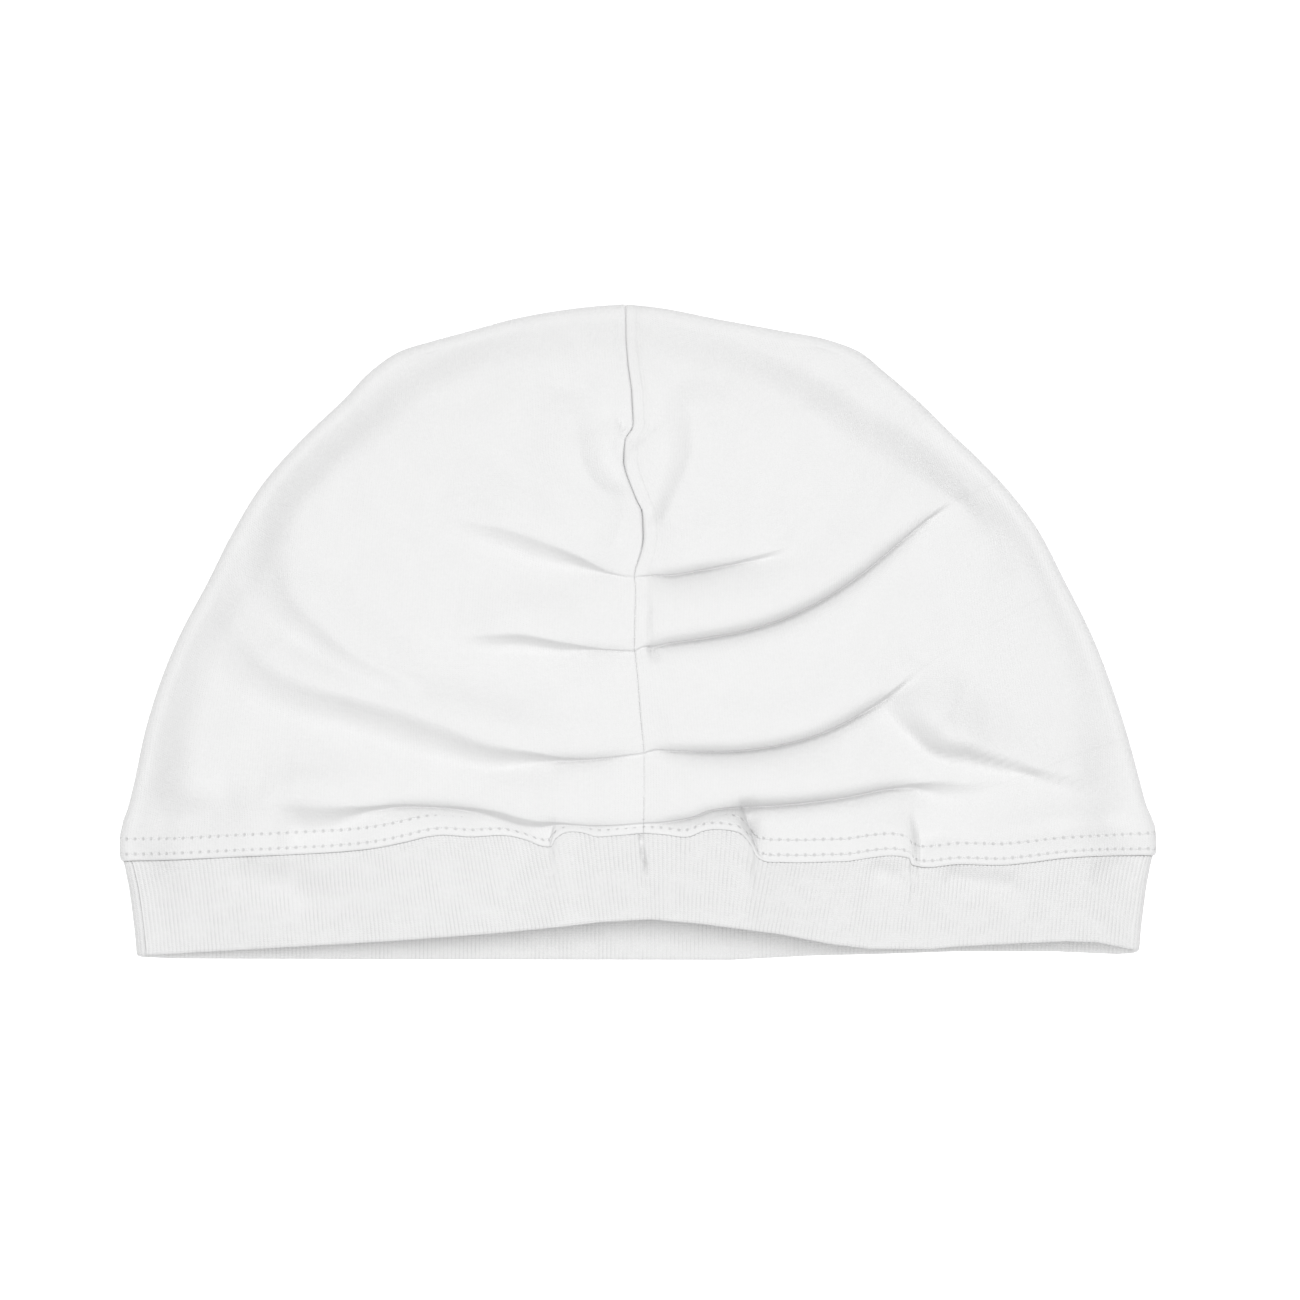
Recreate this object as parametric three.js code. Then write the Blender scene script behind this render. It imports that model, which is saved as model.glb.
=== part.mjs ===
// A ruched jersey turban cap lying flat on its back, front side up. Two jersey halves meet at
// a centre seam, whose lower front is gathered into pleats, and a folded rib band runs round
// the mouth. Millimetres: X across the cap, Y from the rim to the apex, Z up from the surface
// that the cap lies on. Every piece is a closed wall of cloth round the one open hollow.

import * as THREE from "three";

const JERSEY_WALL = 1.2;
const BAND_WALL = 2;
const SEWN_GAP = 0.3; // between two pieces that a seam joins
const EDGE_RADIUS = 2.6; // outside radius of the flattened fold along the outline
const EDGE_HEIGHT = 2 * EDGE_RADIUS;
const SHOULDER_RISE = 6.2; // from the flattened edge up to the plateau
const SHOULDER_WIDTH = 20;
const CROWN_RISE = 3.4; // further slow rise towards the middle
const CROWN_SPREAD = 42;
const RIM_RISE = 6.4; // how far the front rim arches above its flattened ends
const RIM_HALF_WIDTH = 125.4;
const RIM_ROUND = 0.7; // bulge of the band's folded rim
const BACK_HEM_Y = -57;
const HEM_HALF_WIDTH = 130;
const APEX = { x: -3.2, y: 82.25 };
const TOP_CORNER = 0.76; // along each outline, where a half's top row turns into its side

// How a pleat's drop is shared out, and how far its rows lie from its line, going up.
const PLEAT_ROWS = [
  { shift: -1.1, share: -0.6 },
  { shift: 0.3, share: 0.02 },
  { shift: 3.2, share: 0.4 },
];
const FADE_START = 0.55; // a pleat starts to fade at this share of its reach

const COLUMNS = 18; // cells from the centre seam to the side
const ROWS_BETWEEN = 1; // plain rows between two pleats
const ROWS_ON_TOP = 3; // plain rows above the last pleat, on each stretch
const ARC_CELLS = 4; // round the flattened edge
const BACK_CELLS = 6; // band stations on each half of the back
const BAND_CELLS = 3; // from the hem to the rim

// Outline of the cap, from the hem up to just beside the apex.
const OUTLINE = [
  { y: BACK_HEM_Y, left: -HEM_HALF_WIDTH, right: HEM_HALF_WIDTH },
  { y: -44, left: -127.8, right: 127.5 },
  { y: -24, left: -123.4, right: 121.8 },
  { y: -2, left: -115.5, right: 114 },
  { y: 20, left: -103.8, right: 103 },
  { y: 43, left: -88.5, right: 85.2 },
  { y: 58, left: -73.8, right: 70 },
  { y: 66, left: -66.6, right: 60.8 },
  { y: 73, left: -51.2, right: 48.2 },
  { y: 78.5, left: -31.2, right: 19.8 },
  { y: 81.4, left: -13, right: 5 },
];

// The centre seam wanders where the gathers pull it.
const SEAM = [
  { y: -82, x: 2.6 },
  { y: -50, x: 1.7 },
  { y: -30, x: 1.2 },
  { y: -4, x: -1 },
  { y: 14, x: -0.8 },
  { y: 26, x: 1.2 },
  { y: 38, x: -1.6 },
  { y: 55, x: -1.2 },
  { y: 82.25, x: -3.2 },
];

// Front hem, where the crown meets the band: it rides up under the last pleat and steps down
// on the right.
const HEM = [
  { x: -HEM_HALF_WIDTH, y: BACK_HEM_Y },
  { x: -97, y: -56 },
  { x: -64, y: -54 },
  { x: -50, y: -51.4 },
  { x: 2, y: -50.4 },
  { x: 23, y: -49.8 },
  { x: 31, y: -57.2 },
  { x: 66, y: -57.2 },
  { x: 72, y: -58.6 },
  { x: 90, y: -58.3 },
  { x: HEM_HALF_WIDTH, y: BACK_HEM_Y },
];

const FRONT_RIM = [
  { x: -126, y: -80.9 },
  { x: -84, y: -78.4 },
  { x: -34, y: -74.9 },
  { x: 3, y: -71.8 },
  { x: 35, y: -75.2 },
  { x: 56, y: -78.8 },
  { x: 126, y: -80.2 },
];

const BACK_RIM = [
  { x: -126, y: -80.9 },
  { x: -115, y: -81.55 },
  { x: 23, y: -81.55 },
  { x: 64, y: -80.2 },
  { x: 104, y: -79.6 },
  { x: 126, y: -80.2 },
];

// Rows of the front that run from the centre seam out to the side. seamY is where a row leaves
// the seam and depth is its pleat's drop. On each side the row passes (x1, y1) and (x2, y2) and
// meets the outline at edge, a share of the way from the hem to the apex, and the pleat has
// faded out at reach, a share of the row.
const ROWS = [
  {
    name: "hem", seamY: -50.4, depth: 0,
    left: { x1: -43, y1: -51.2, x2: -88, y2: -55.8, edge: 0, reach: 0 },
    right: { x1: 43, y1: -57.2, x2: 88, y2: -58.3, edge: 0, reach: 0 },
  },
  {
    name: "hem pleat", seamY: -46.5, depth: 2.6,
    left: { x1: -43, y1: -43.4, x2: -88, y2: -42.6, edge: 0.09, reach: 0.78 },
    right: { x1: 40, y1: -42.2, x2: 84, y2: -35.4, edge: 0.11, reach: 0.74 },
  },
  {
    name: "third pleat", seamY: -29.4, depth: 3.2,
    left: { x1: -46, y1: -25.4, x2: -88, y2: -11.8, edge: 0.32, reach: 0.9 },
    right: { x1: 38, y1: -27, x2: 74, y2: -6, edge: 0.31, reach: 0.62 },
  },
  {
    name: "second pleat", seamY: -4, depth: 2.8,
    left: { x1: -36, y1: -1.6, x2: -72, y2: 9, edge: 0.45, reach: 0.4 },
    right: { x1: 36, y1: 3.5, x2: 68, y2: 25, edge: 0.5, reach: 0.86 },
  },
  {
    name: "first pleat", seamY: 14.2, depth: 2.4,
    left: { x1: -26, y1: 21.8, x2: -53, y2: 33, edge: 0.58, reach: 0.62 },
    right: { x1: 25, y1: 17.6, x2: 49, y2: 33, edge: 0.61, reach: 0.48 },
  },
  {
    name: "plain top", seamY: 46, depth: 0,
    left: { x1: -21, y1: 50, x2: -42, y2: 56, edge: 0.69, reach: 0 },
    right: { x1: 19, y1: 50, x2: 39, y2: 56, edge: 0.69, reach: 0 },
  },
];

// Soft dents in the front, each along a line.
const DENTS = [
  { name: "right slack crease", x0: 66, y0: -14, x1: 112, y1: -38, depth: 1.6, width: 5 },
  { name: "right shoulder nick", x0: 70, y0: 44, x1: 90, y1: 26, depth: 1.2, width: 4 },
  { name: "left of the seam", x0: -14, y0: 55, x1: -2, y1: 34, depth: 1.2, width: 5 },
  { name: "right of the seam", x0: 13, y0: 55, x1: 5, y1: 27, depth: 1.2, width: 5 },
  { name: "right hem step", x0: 30, y0: -44, x1: 30, y1: -56, depth: 2, width: 4 },
];

const smoothstep = (value) => THREE.MathUtils.smoothstep(value, 0, 1);
const lerp = THREE.MathUtils.lerp;

// Reads a table by one of its columns, straight between its rows.
function readTable(table, key, column, at) {
  const next = table.findIndex((row, index) => index > 0 && at <= row[key]);
  const upper = next < 0 ? table.length - 1 : next;
  const [low, high] = [table[upper - 1], table[upper]];
  const share = THREE.MathUtils.clamp((at - low[key]) / (high[key] - low[key]), 0, 1);
  return lerp(low[column], high[column], share);
}

function distanceToSegment(x, y, line) {
  const [dx, dy] = [line.x1 - line.x0, line.y1 - line.y0];
  const along = ((x - line.x0) * dx + (y - line.y0) * dy) / (dx * dx + dy * dy);
  const share = THREE.MathUtils.clamp(along, 0, 1);
  return Math.hypot(x - line.x0 - share * dx, y - line.y0 - share * dy);
}

// One side's outline, by its share of the way from the hem to the apex.
class Outline {
  constructor(side) {
    this.side = side;
    const column = side < 0 ? "left" : "right";
    const points = OUTLINE.map((row) => new THREE.Vector3(row[column], row.y, 0));
    points.push(new THREE.Vector3(APEX.x, APEX.y, 0));
    this.curve = new THREE.CatmullRomCurve3(points, false, "centripetal");
    this.insetPoints = this.sampleInset();
  }

  outward(share) {
    if (share === 0) return new THREE.Vector3(this.side, 0, 0);
    if (share === 1) return new THREE.Vector3(0, 1, 0);
    const tangent = this.curve.getTangentAt(share);
    return new THREE.Vector3(this.side * tangent.y, -this.side * tangent.x, 0).normalize();
  }

  // The line that the flattened edge turns about, on the floor plane.
  inset(share) {
    const point = this.curve.getPointAt(share);
    point.addScaledVector(this.outward(share), -EDGE_RADIUS);
    if (share === 1) point.x = APEX.x + (this.side * SEWN_GAP) / 2;
    return point;
  }

  sampleInset() {
    const samples = 160;
    return Array.from({ length: samples + 1 }, (_, index) => this.inset(index / samples));
  }

  distance(x, y) {
    return Math.min(...this.insetPoints.map((point) => Math.hypot(point.x - x, point.y - y)));
  }
}

const outlines = [-1, 1].map((side) => new Outline(side));

// Height of the front's outer surface, before its pleats.
function loft(x, y) {
  const inside = Math.min(...outlines.map((outline) => outline.distance(x, y)));
  const shoulder = SHOULDER_RISE * smoothstep(inside / SHOULDER_WIDTH);
  const crown = CROWN_RISE * (1 - Math.exp(-inside / CROWN_SPREAD));
  const dents = DENTS.reduce((sum, dent) => {
    const away = distanceToSegment(x, y, dent) / dent.width;
    return sum + dent.depth * Math.exp(-away * away);
  }, 0);
  const cover = smoothstep(inside / SHOULDER_WIDTH);
  return EDGE_HEIGHT + shoulder + crown - dents * cover;
}

const seamX = (y, side) => readTable(SEAM, "y", "x", y) + (side * SEWN_GAP) / 2;

// A closed body from its triangles, turned so that its faces point outwards.
function solid(triangles) {
  const volume = triangles.reduce((sum, [a, b, c]) => sum + a.dot(b.clone().cross(c)), 0);
  const facing = volume < 0 ? triangles.map(([a, b, c]) => [a, c, b]) : triangles;
  const geometry = new THREE.BufferGeometry().setFromPoints(facing.flat());
  geometry.computeVertexNormals();
  return geometry;
}

// Two triangles for each cell between two lines of points.
function strip(first, second) {
  const triangles = [];
  for (let index = 0; index + 1 < first.length; index += 1) {
    triangles.push([first[index], first[index + 1], second[index + 1]]);
    triangles.push([first[index], second[index + 1], second[index]]);
  }
  return triangles;
}

function blendRows(low, high, share) {
  return low.map((point, index) => ({
    x: lerp(point.x, high[index].x, share),
    y: lerp(point.y, high[index].y, share),
    lift: lerp(point.lift, high[index].lift, share),
    edge: lerp(point.edge, high[index].edge, share),
  }));
}

// One jersey half: its front, its flattened edge and its back, all one wall.
class CrownHalf {
  constructor(side) {
    this.side = side;
    this.outline = outlines[side < 0 ? 0 : 1];
    this.rows = this.layRows();
  }

  // A row from the table, moved up or down by shift and lifted by share of its pleat's drop.
  tableRow(row, { shift, share }) {
    const { x1, y1, x2, y2, edge, reach } = row[this.side < 0 ? "left" : "right"];
    const seamY = row.seamY + shift;
    const edgeShare = edge + shift / this.outline.curve.getLength();
    const end = this.outline.inset(edgeShare);
    const line = new THREE.CatmullRomCurve3([
      new THREE.Vector3(seamX(seamY, this.side), seamY, 0),
      new THREE.Vector3(x1, y1 + shift, 0),
      new THREE.Vector3(x2, y2 + shift, 0),
      end,
    ]);
    return line.getPoints(COLUMNS).map((point, index) => {
      const along = index / COLUMNS;
      const faded = reach > 0 ? (along / reach - FADE_START) / (1 - FADE_START) : 1;
      const lift = share * row.depth * (1 - smoothstep(faded));
      const y = row === ROWS[0] ? readTable(HEM, "x", "y", point.x) : point.y;
      return { x: point.x, y, lift, edge: edgeShare };
    });
  }

  // The row along the top of the outline, from the apex to the corner.
  topRow() {
    return Array.from({ length: COLUMNS + 1 }, (_, index) => {
      const edge = lerp(1, TOP_CORNER, index / COLUMNS);
      const { x, y } = this.outline.inset(edge);
      return { x, y, lift: 0, edge };
    });
  }

  layRows() {
    const plain = [{ shift: 0, share: 0 }];
    const guides = ROWS.map((row) =>
      (row.depth > 0 ? PLEAT_ROWS : plain).map((place) => this.tableRow(row, place)),
    );
    guides.push([this.topRow()]);
    const rows = [];
    guides.forEach((group, index) => {
      rows.push(...group);
      if (index + 1 === guides.length) return;
      const between = index < ROWS.length - 2 ? ROWS_BETWEEN : ROWS_ON_TOP;
      for (let step = 1; step <= between; step += 1) {
        rows.push(blendRows(group.at(-1), guides[index + 1][0], step / (between + 1)));
      }
    });
    return rows.map((row) => this.pinEnds(row));
  }

  // Sets a row's two ends on the seam and on the flattened edge.
  pinEnds(row) {
    const last = row.at(-1);
    const end = this.outline.inset(last.edge);
    Object.assign(last, { x: end.x, y: end.y });
    row[0].x = row[0].edge === 1 ? row[0].x : seamX(row[0].y, this.side);
    return row;
  }

  // The front's outer points, or its inner ones at depth below them.
  front(depth) {
    return this.rows.map((row) =>
      row.map(({ x, y, lift }) => new THREE.Vector3(x, y, loft(x, y) + lift - depth)),
    );
  }

  // The shares of the outline at which the front's cells meet the edge, from hem to apex.
  edgeShares() {
    const side = this.rows.map((row) => row.at(-1).edge);
    const top = this.rows.at(-1).map((point) => point.edge).reverse();
    return [...side, ...top.slice(1)];
  }

  // Lines round the flattened edge, from the front's boundary down to the back's.
  edgeLines(depth) {
    const radius = EDGE_RADIUS - depth;
    return Array.from({ length: ARC_CELLS + 1 }, (_, index) => {
      const angle = Math.PI / 2 - (Math.PI * index) / ARC_CELLS;
      return this.edgeShares().map((share) => {
        const point = this.outline.inset(share);
        point.addScaledVector(this.outline.outward(share), radius * Math.cos(angle));
        return point.setZ(EDGE_RADIUS + radius * Math.sin(angle));
      });
    });
  }

  // One skin of the wall, with the loop of points round its open border.
  skin(depth) {
    const front = this.front(depth);
    const lines = this.edgeLines(depth);
    const boundary = [...front.map((row) => row.at(-1)), ...front.at(-1).toReversed().slice(1)];
    lines[0] = boundary;
    const hemCentre = new THREE.Vector3((this.side * SEWN_GAP) / 2, BACK_HEM_Y, depth);
    const contour = [...lines.at(-1), hemCentre];
    const faces = THREE.ShapeUtils.triangulateShape(contour, []);
    const triangles = [
      ...front.slice(1).flatMap((row, index) => strip(front[index], row)),
      ...lines.slice(1).flatMap((line, index) => strip(line, lines[index])),
      ...this.backTriangles(contour, faces),
    ];
    const border = [
      ...front.map((row) => row[0]),
      ...lines.slice(1).map((line) => line.at(-1)),
      hemCentre,
      ...lines.slice(1).map((line) => line[0]).reverse(),
      ...front[0].toReversed(),
    ];
    return { triangles, border, hem: front[0], hemEdge: lines.map((line) => line[0]) };
  }

  // The flat back, facing the other way from the front seen from above.
  backTriangles(contour, faces) {
    return faces.map((face) => {
      const [a, b, c] = face.map((index) => contour[index]);
      const turn = (b.x - a.x) * (c.y - a.y) - (c.x - a.x) * (b.y - a.y);
      return turn * this.side < 0 ? [a, b, c] : [a, c, b];
    });
  }

  geometry() {
    const outer = this.skin(0);
    const inner = this.skin(JERSEY_WALL);
    return solid([
      ...outer.triangles,
      ...inner.triangles.map(([a, b, c]) => [a, c, b]),
      ...strip(outer.border, inner.border),
    ]);
  }

  // The hem as the band meets it: points from the centre front round to the centre back.
  hemStations() {
    const { hem, hemEdge } = this.skin(0);
    const up = new THREE.Vector3(0, 0, 1);
    const front = hem.map((point) => ({ point, outward: up, part: 0 }));
    const round = hemEdge.slice(1).map((point, index) => {
      const angle = Math.PI / 2 - (Math.PI * (index + 1)) / ARC_CELLS;
      const outward = new THREE.Vector3(this.side * Math.cos(angle), 0, Math.sin(angle));
      return { point, outward, part: (index + 1) / ARC_CELLS };
    });
    const corner = round.at(-1).point;
    const back = Array.from({ length: BACK_CELLS }, (_, index) => {
      const point = corner.clone().setX(corner.x * (1 - (index + 1) / BACK_CELLS));
      return { point, outward: up.clone().negate(), part: 1 };
    });
    return [...front, ...round, ...back];
  }
}

// The rib band: a closed ring whose section is a folded strip hanging from the hem.
class Band {
  constructor(halves) {
    const [left, right] = halves.map((half) => half.hemStations());
    left[0].point.x = readTable(SEAM, "y", "x", left[0].point.y);
    this.stations = [...left, ...right.slice(1, -1).reverse()];
  }

  // The rim's outer point below a station of the hem.
  rim({ point, part }) {
    const x = (point.x * RIM_HALF_WIDTH) / HEM_HALF_WIDTH;
    const y = lerp(readTable(FRONT_RIM, "x", "y", x), readTable(BACK_RIM, "x", "y", x), part);
    const reach = Math.min(Math.abs(x) / (RIM_HALF_WIDTH - EDGE_RADIUS), 1);
    const arch = EDGE_HEIGHT + RIM_RISE * (1 - reach * reach);
    return new THREE.Vector3(x, y, part === 0 ? arch : point.z);
  }

  section(station) {
    const hem = station.point.clone();
    hem.y -= SEWN_GAP;
    const rim = this.rim(station);
    const outer = Array.from({ length: BAND_CELLS + 1 }, (_, index) =>
      hem.clone().lerp(rim, index / BAND_CELLS),
    );
    const inner = outer.map((point) =>
      point.clone().addScaledVector(station.outward, -BAND_WALL),
    );
    const fold = rim.clone().addScaledVector(station.outward, -BAND_WALL / 2);
    fold.y -= RIM_ROUND;
    return [...outer, fold, ...inner.reverse()];
  }

  geometry() {
    const sections = this.stations.map((station) => {
      const loop = this.section(station);
      return [...loop, loop[0]];
    });
    sections.push(sections[0]);
    return solid(sections.slice(1).flatMap((loop, index) => strip(sections[index], loop)));
  }
}

function piece(name, geometry, material) {
  const mesh = new THREE.Mesh(geometry, material);
  mesh.name = name;
  return mesh;
}

const jersey = new THREE.MeshStandardMaterial({ color: 0xf0f0ef, roughness: 0.95, metalness: 0 });
const rib = new THREE.MeshStandardMaterial({ color: 0xeeeeed, roughness: 0.95, metalness: 0 });

const halves = [-1, 1].map((side) => new CrownHalf(side));
const turban = new THREE.Group();
turban.add(
  piece("crown_left", halves[0].geometry(), jersey),
  piece("crown_right", halves[1].geometry(), jersey),
  piece("band", new Band(halves).geometry(), rib),
);

export default turban;
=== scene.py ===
"""A ruched jersey turban cap, laid flat on its back with its front up.

Two jersey halves meet at a centre seam whose lower front is gathered into pleats. A rib band,
folded double, runs round the mouth, and two rows of coverstitch hold the crown's hem to it.
Tables and sizes are in millimetres, in the frame's axes: X across the cap, Y from the rim to
the apex, Z up. Meshes are made in metres.
"""

import logging
import math
from dataclasses import dataclass, field
from enum import Enum
from typing import Any, Sequence

import bpy
import numpy as np
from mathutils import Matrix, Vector


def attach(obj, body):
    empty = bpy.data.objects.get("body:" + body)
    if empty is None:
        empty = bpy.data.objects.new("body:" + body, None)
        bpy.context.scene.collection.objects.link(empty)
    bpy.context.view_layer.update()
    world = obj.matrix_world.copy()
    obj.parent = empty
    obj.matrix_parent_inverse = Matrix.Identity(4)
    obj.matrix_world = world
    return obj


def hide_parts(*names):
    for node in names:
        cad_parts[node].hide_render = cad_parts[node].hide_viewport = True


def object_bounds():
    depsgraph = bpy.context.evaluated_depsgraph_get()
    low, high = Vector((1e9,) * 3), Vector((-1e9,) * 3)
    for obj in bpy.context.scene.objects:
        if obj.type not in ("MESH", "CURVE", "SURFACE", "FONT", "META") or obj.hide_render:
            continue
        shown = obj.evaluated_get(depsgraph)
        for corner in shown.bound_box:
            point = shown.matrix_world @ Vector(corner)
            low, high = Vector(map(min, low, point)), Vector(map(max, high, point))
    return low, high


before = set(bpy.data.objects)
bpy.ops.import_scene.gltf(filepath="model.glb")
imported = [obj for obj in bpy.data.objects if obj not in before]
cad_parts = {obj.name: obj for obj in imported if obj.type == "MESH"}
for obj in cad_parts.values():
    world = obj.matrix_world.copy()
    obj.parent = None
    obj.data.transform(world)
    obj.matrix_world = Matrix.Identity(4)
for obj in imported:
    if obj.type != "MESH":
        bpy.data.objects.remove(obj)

LOG = logging.getLogger("turban")
CAD_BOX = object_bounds()
MM = 0.001
HALF_WIDTH = (CAD_BOX[1].x - CAD_BOX[0].x) / 2 / MM
APEX_Y = CAD_BOX[1].y / MM
RIM_Y = CAD_BOX[0].y / MM

Array = np.ndarray
Table = Sequence[tuple[float, ...]]

JERSEY_THICKNESS = 0.6
EDGE_RADIUS = 2.6  # outside radius of the flattened fold along the outline
EDGE_TOP = 2 * EDGE_RADIUS  # how high that fold stands
STITCH = 2.25  # length of a coverstitch
SEAM_STITCH = 2.65  # length of a stitch of the front seam
ROW_HEIGHTS = (1.9, 5.7)  # the coverstitch rows, above the hem's edge
RIB_PITCH = 1.0  # width of a rib
UNSTITCHED = 200.0  # added to the height above the hem where the cloth carries no stitches
BATCH = 2048  # points measured against others at a time
TINY = 1e-6  # less than this counts as nothing
CURL = 2.4  # how sharply a rolled edge bends: the power of its depth

# The centre seam from the apex to the hem, as y and x. It wanders where the gathers pull it.
SEAM: Table = (
    (APEX_Y, -3.1), (73, -3.0), (66.7, -2.5), (60.5, -1.6), (52, -1.2), (50.6, -1.5),
    (49.4, -2.6), (48.2, -3.2), (45.5, -3.5), (42.2, -3.6), (40, -3.1), (38, -2.4), (35, -1.2),
    (33, -0.4), (30.5, 0.9), (28.5, 1.2), (23, 1.3), (20.5, 0.9), (18, 0.1), (16, -0.6),
    (14, -0.9), (10.5, -0.6), (3, -0.8), (-4, -0.9), (-12, 0), (-19.5, 0.5), (-26, 1.1),
    (-29.5, 1.5), (-39.5, 1.5), (-50.2, 1.4),
)
# How far the seam is drawn in below the cloth beside it, as y and depth.
GROOVE: Table = (
    (APEX_Y, 0.4), (70, 0.5), (54, 0.65), (50.5, 0.4), (48.5, 0.35), (44, 0.9), (41, 0.8),
    (35, 0.5), (30, 0.8), (24, 0.9), (20, 0.6), (16, 0.35), (12.5, 0.3), (9, 0.3), (-10, 0.34),
    (-20, 0.45), (-27, 0.4), (-31, 0.2), (-51, 0.2),
)
STITCHED = (-46.5, 12.5)  # from where to where, in y, single stitches cross the seam
# How deep the line under the hem shows, by x.
HEM_DEPTH: Table = (
    (-129, 1), (-60, 1), (-50, 0.7), (-18, 0.6), (0, 0.35), (20, 0.4), (27, 0.7), (34, 0.45),
    (64, 0.45), (69, 1), (129, 1),
)


class Side(Enum):
    """A side of the cap, as the sign of X there."""

    LEFT = -1
    RIGHT = 1


class Hand(Enum):
    """The hand on which a line's low side lies, going along the line."""

    LEFT = -1
    RIGHT = 1


def smoothstep(value: Array) -> Array:
    """An eased step from 0 to 1 as value goes from 0 to 1."""
    held = np.clip(value, 0.0, 1.0)
    return held * held * (3 - 2 * held)


def read(table: Table, at: Array) -> Array:
    """Reads a table of two columns between its rows.

    Args:
        table: rows of a place and a value, in either order of place.
        at: the places to read.

    Returns:
        The values there.
    """
    rows = np.array(sorted(table), float)
    return np.interp(at, rows[:, 0], rows[:, 1])


def bell(away: Array, width: Array | float) -> Array:
    """A bell curve: 1 at no distance, and all but gone two widths away."""
    return np.exp(-((away / width) ** 2))


def mix(first: Any, second: Any, share: Any) -> Any:
    """A blend of two values, which goes from the first to the second with the share."""
    return first * (1 - share) + second * share


def unit(vectors: Array) -> Array:
    """The vectors, each brought to a length of one."""
    return vectors / np.linalg.norm(vectors, axis=-1, keepdims=True)


def nearest(points: Array, choice: Array) -> tuple[Array, Array]:
    """Finds which place of a choice lies nearest each point.

    Args:
        points: places in plan.
        choice: the places to choose from.

    Returns:
        The indices of the places chosen, and the distances to them.
    """
    index = np.empty(len(points), int)
    away = np.empty(len(points))
    for start in range(0, len(points), BATCH):
        part = slice(start, start + BATCH)
        square = ((points[part, None] - choice[None]) ** 2).sum(-1)
        index[part] = square.argmin(1)
        away[part] = np.sqrt(square.min(1))
    return index, away


class Line:
    """A smooth line in plan through the points of a short table.

    The table's further columns are carried along it.
    """

    STEP = 0.4  # how far apart its samples lie
    FEWEST = 8  # the least number of steps

    def __init__(self, rows: Table) -> None:
        """Lays the line.

        Args:
            rows: x, y and any further columns of each point.
        """
        table = np.array(rows, float)
        chord = np.r_[0, np.cumsum(np.hypot(*np.diff(table[:, :2], axis=0).T))]
        steps = max(int(chord[-1] / self.STEP), self.FEWEST)
        at = np.linspace(0, chord[-1], steps + 1)
        cell = np.clip(np.searchsorted(chord, at, side="right") - 1, 0, len(chord) - 2)
        width = np.diff(chord)[cell][:, None]
        t = (at - chord[cell])[:, None] / width
        points = table[:, :2]
        slope = np.gradient(points, chord, axis=0)
        self.points = (
            (1 + 2 * t) * (1 - t) ** 2 * points[cell]
            + t * (1 - t) ** 2 * width * slope[cell]
            + t * t * (3 - 2 * t) * points[cell + 1]
            + t * t * (t - 1) * width * slope[cell + 1]
        )
        self.values = np.column_stack(
            [np.interp(at, chord, column) for column in table.T[2:]] or [at * 0]
        )
        self.along = np.r_[0, np.cumsum(np.hypot(*np.diff(self.points, axis=0).T))]
        self.tangent = unit(np.gradient(self.points, axis=0))

    @property
    def length(self) -> float:
        """The line's length."""
        return float(self.along[-1])

    def right(self) -> Array:
        """The normal on the right hand at each sample."""
        return np.column_stack([self.tangent[:, 1], -self.tangent[:, 0]])

    def sample(self, at: Array, what: Array | None = None) -> Array:
        """Reads the line at lengths along it.

        Args:
            at: lengths from its start.
            what: rows to read, one for each of the line's samples; its points if left out.

        Returns:
            A row for each length.
        """
        rows = self.points if what is None else what
        return np.stack([np.interp(at, self.along, column) for column in rows.T], axis=-1)

    def reaches(self, points: Array, reach: float) -> Array:
        """Whether each point lies in the line's box, widened all round by reach."""
        low, high = self.points.min(0) - reach, self.points.max(0) + reach
        return ((points > low) & (points < high)).all(1)


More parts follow.
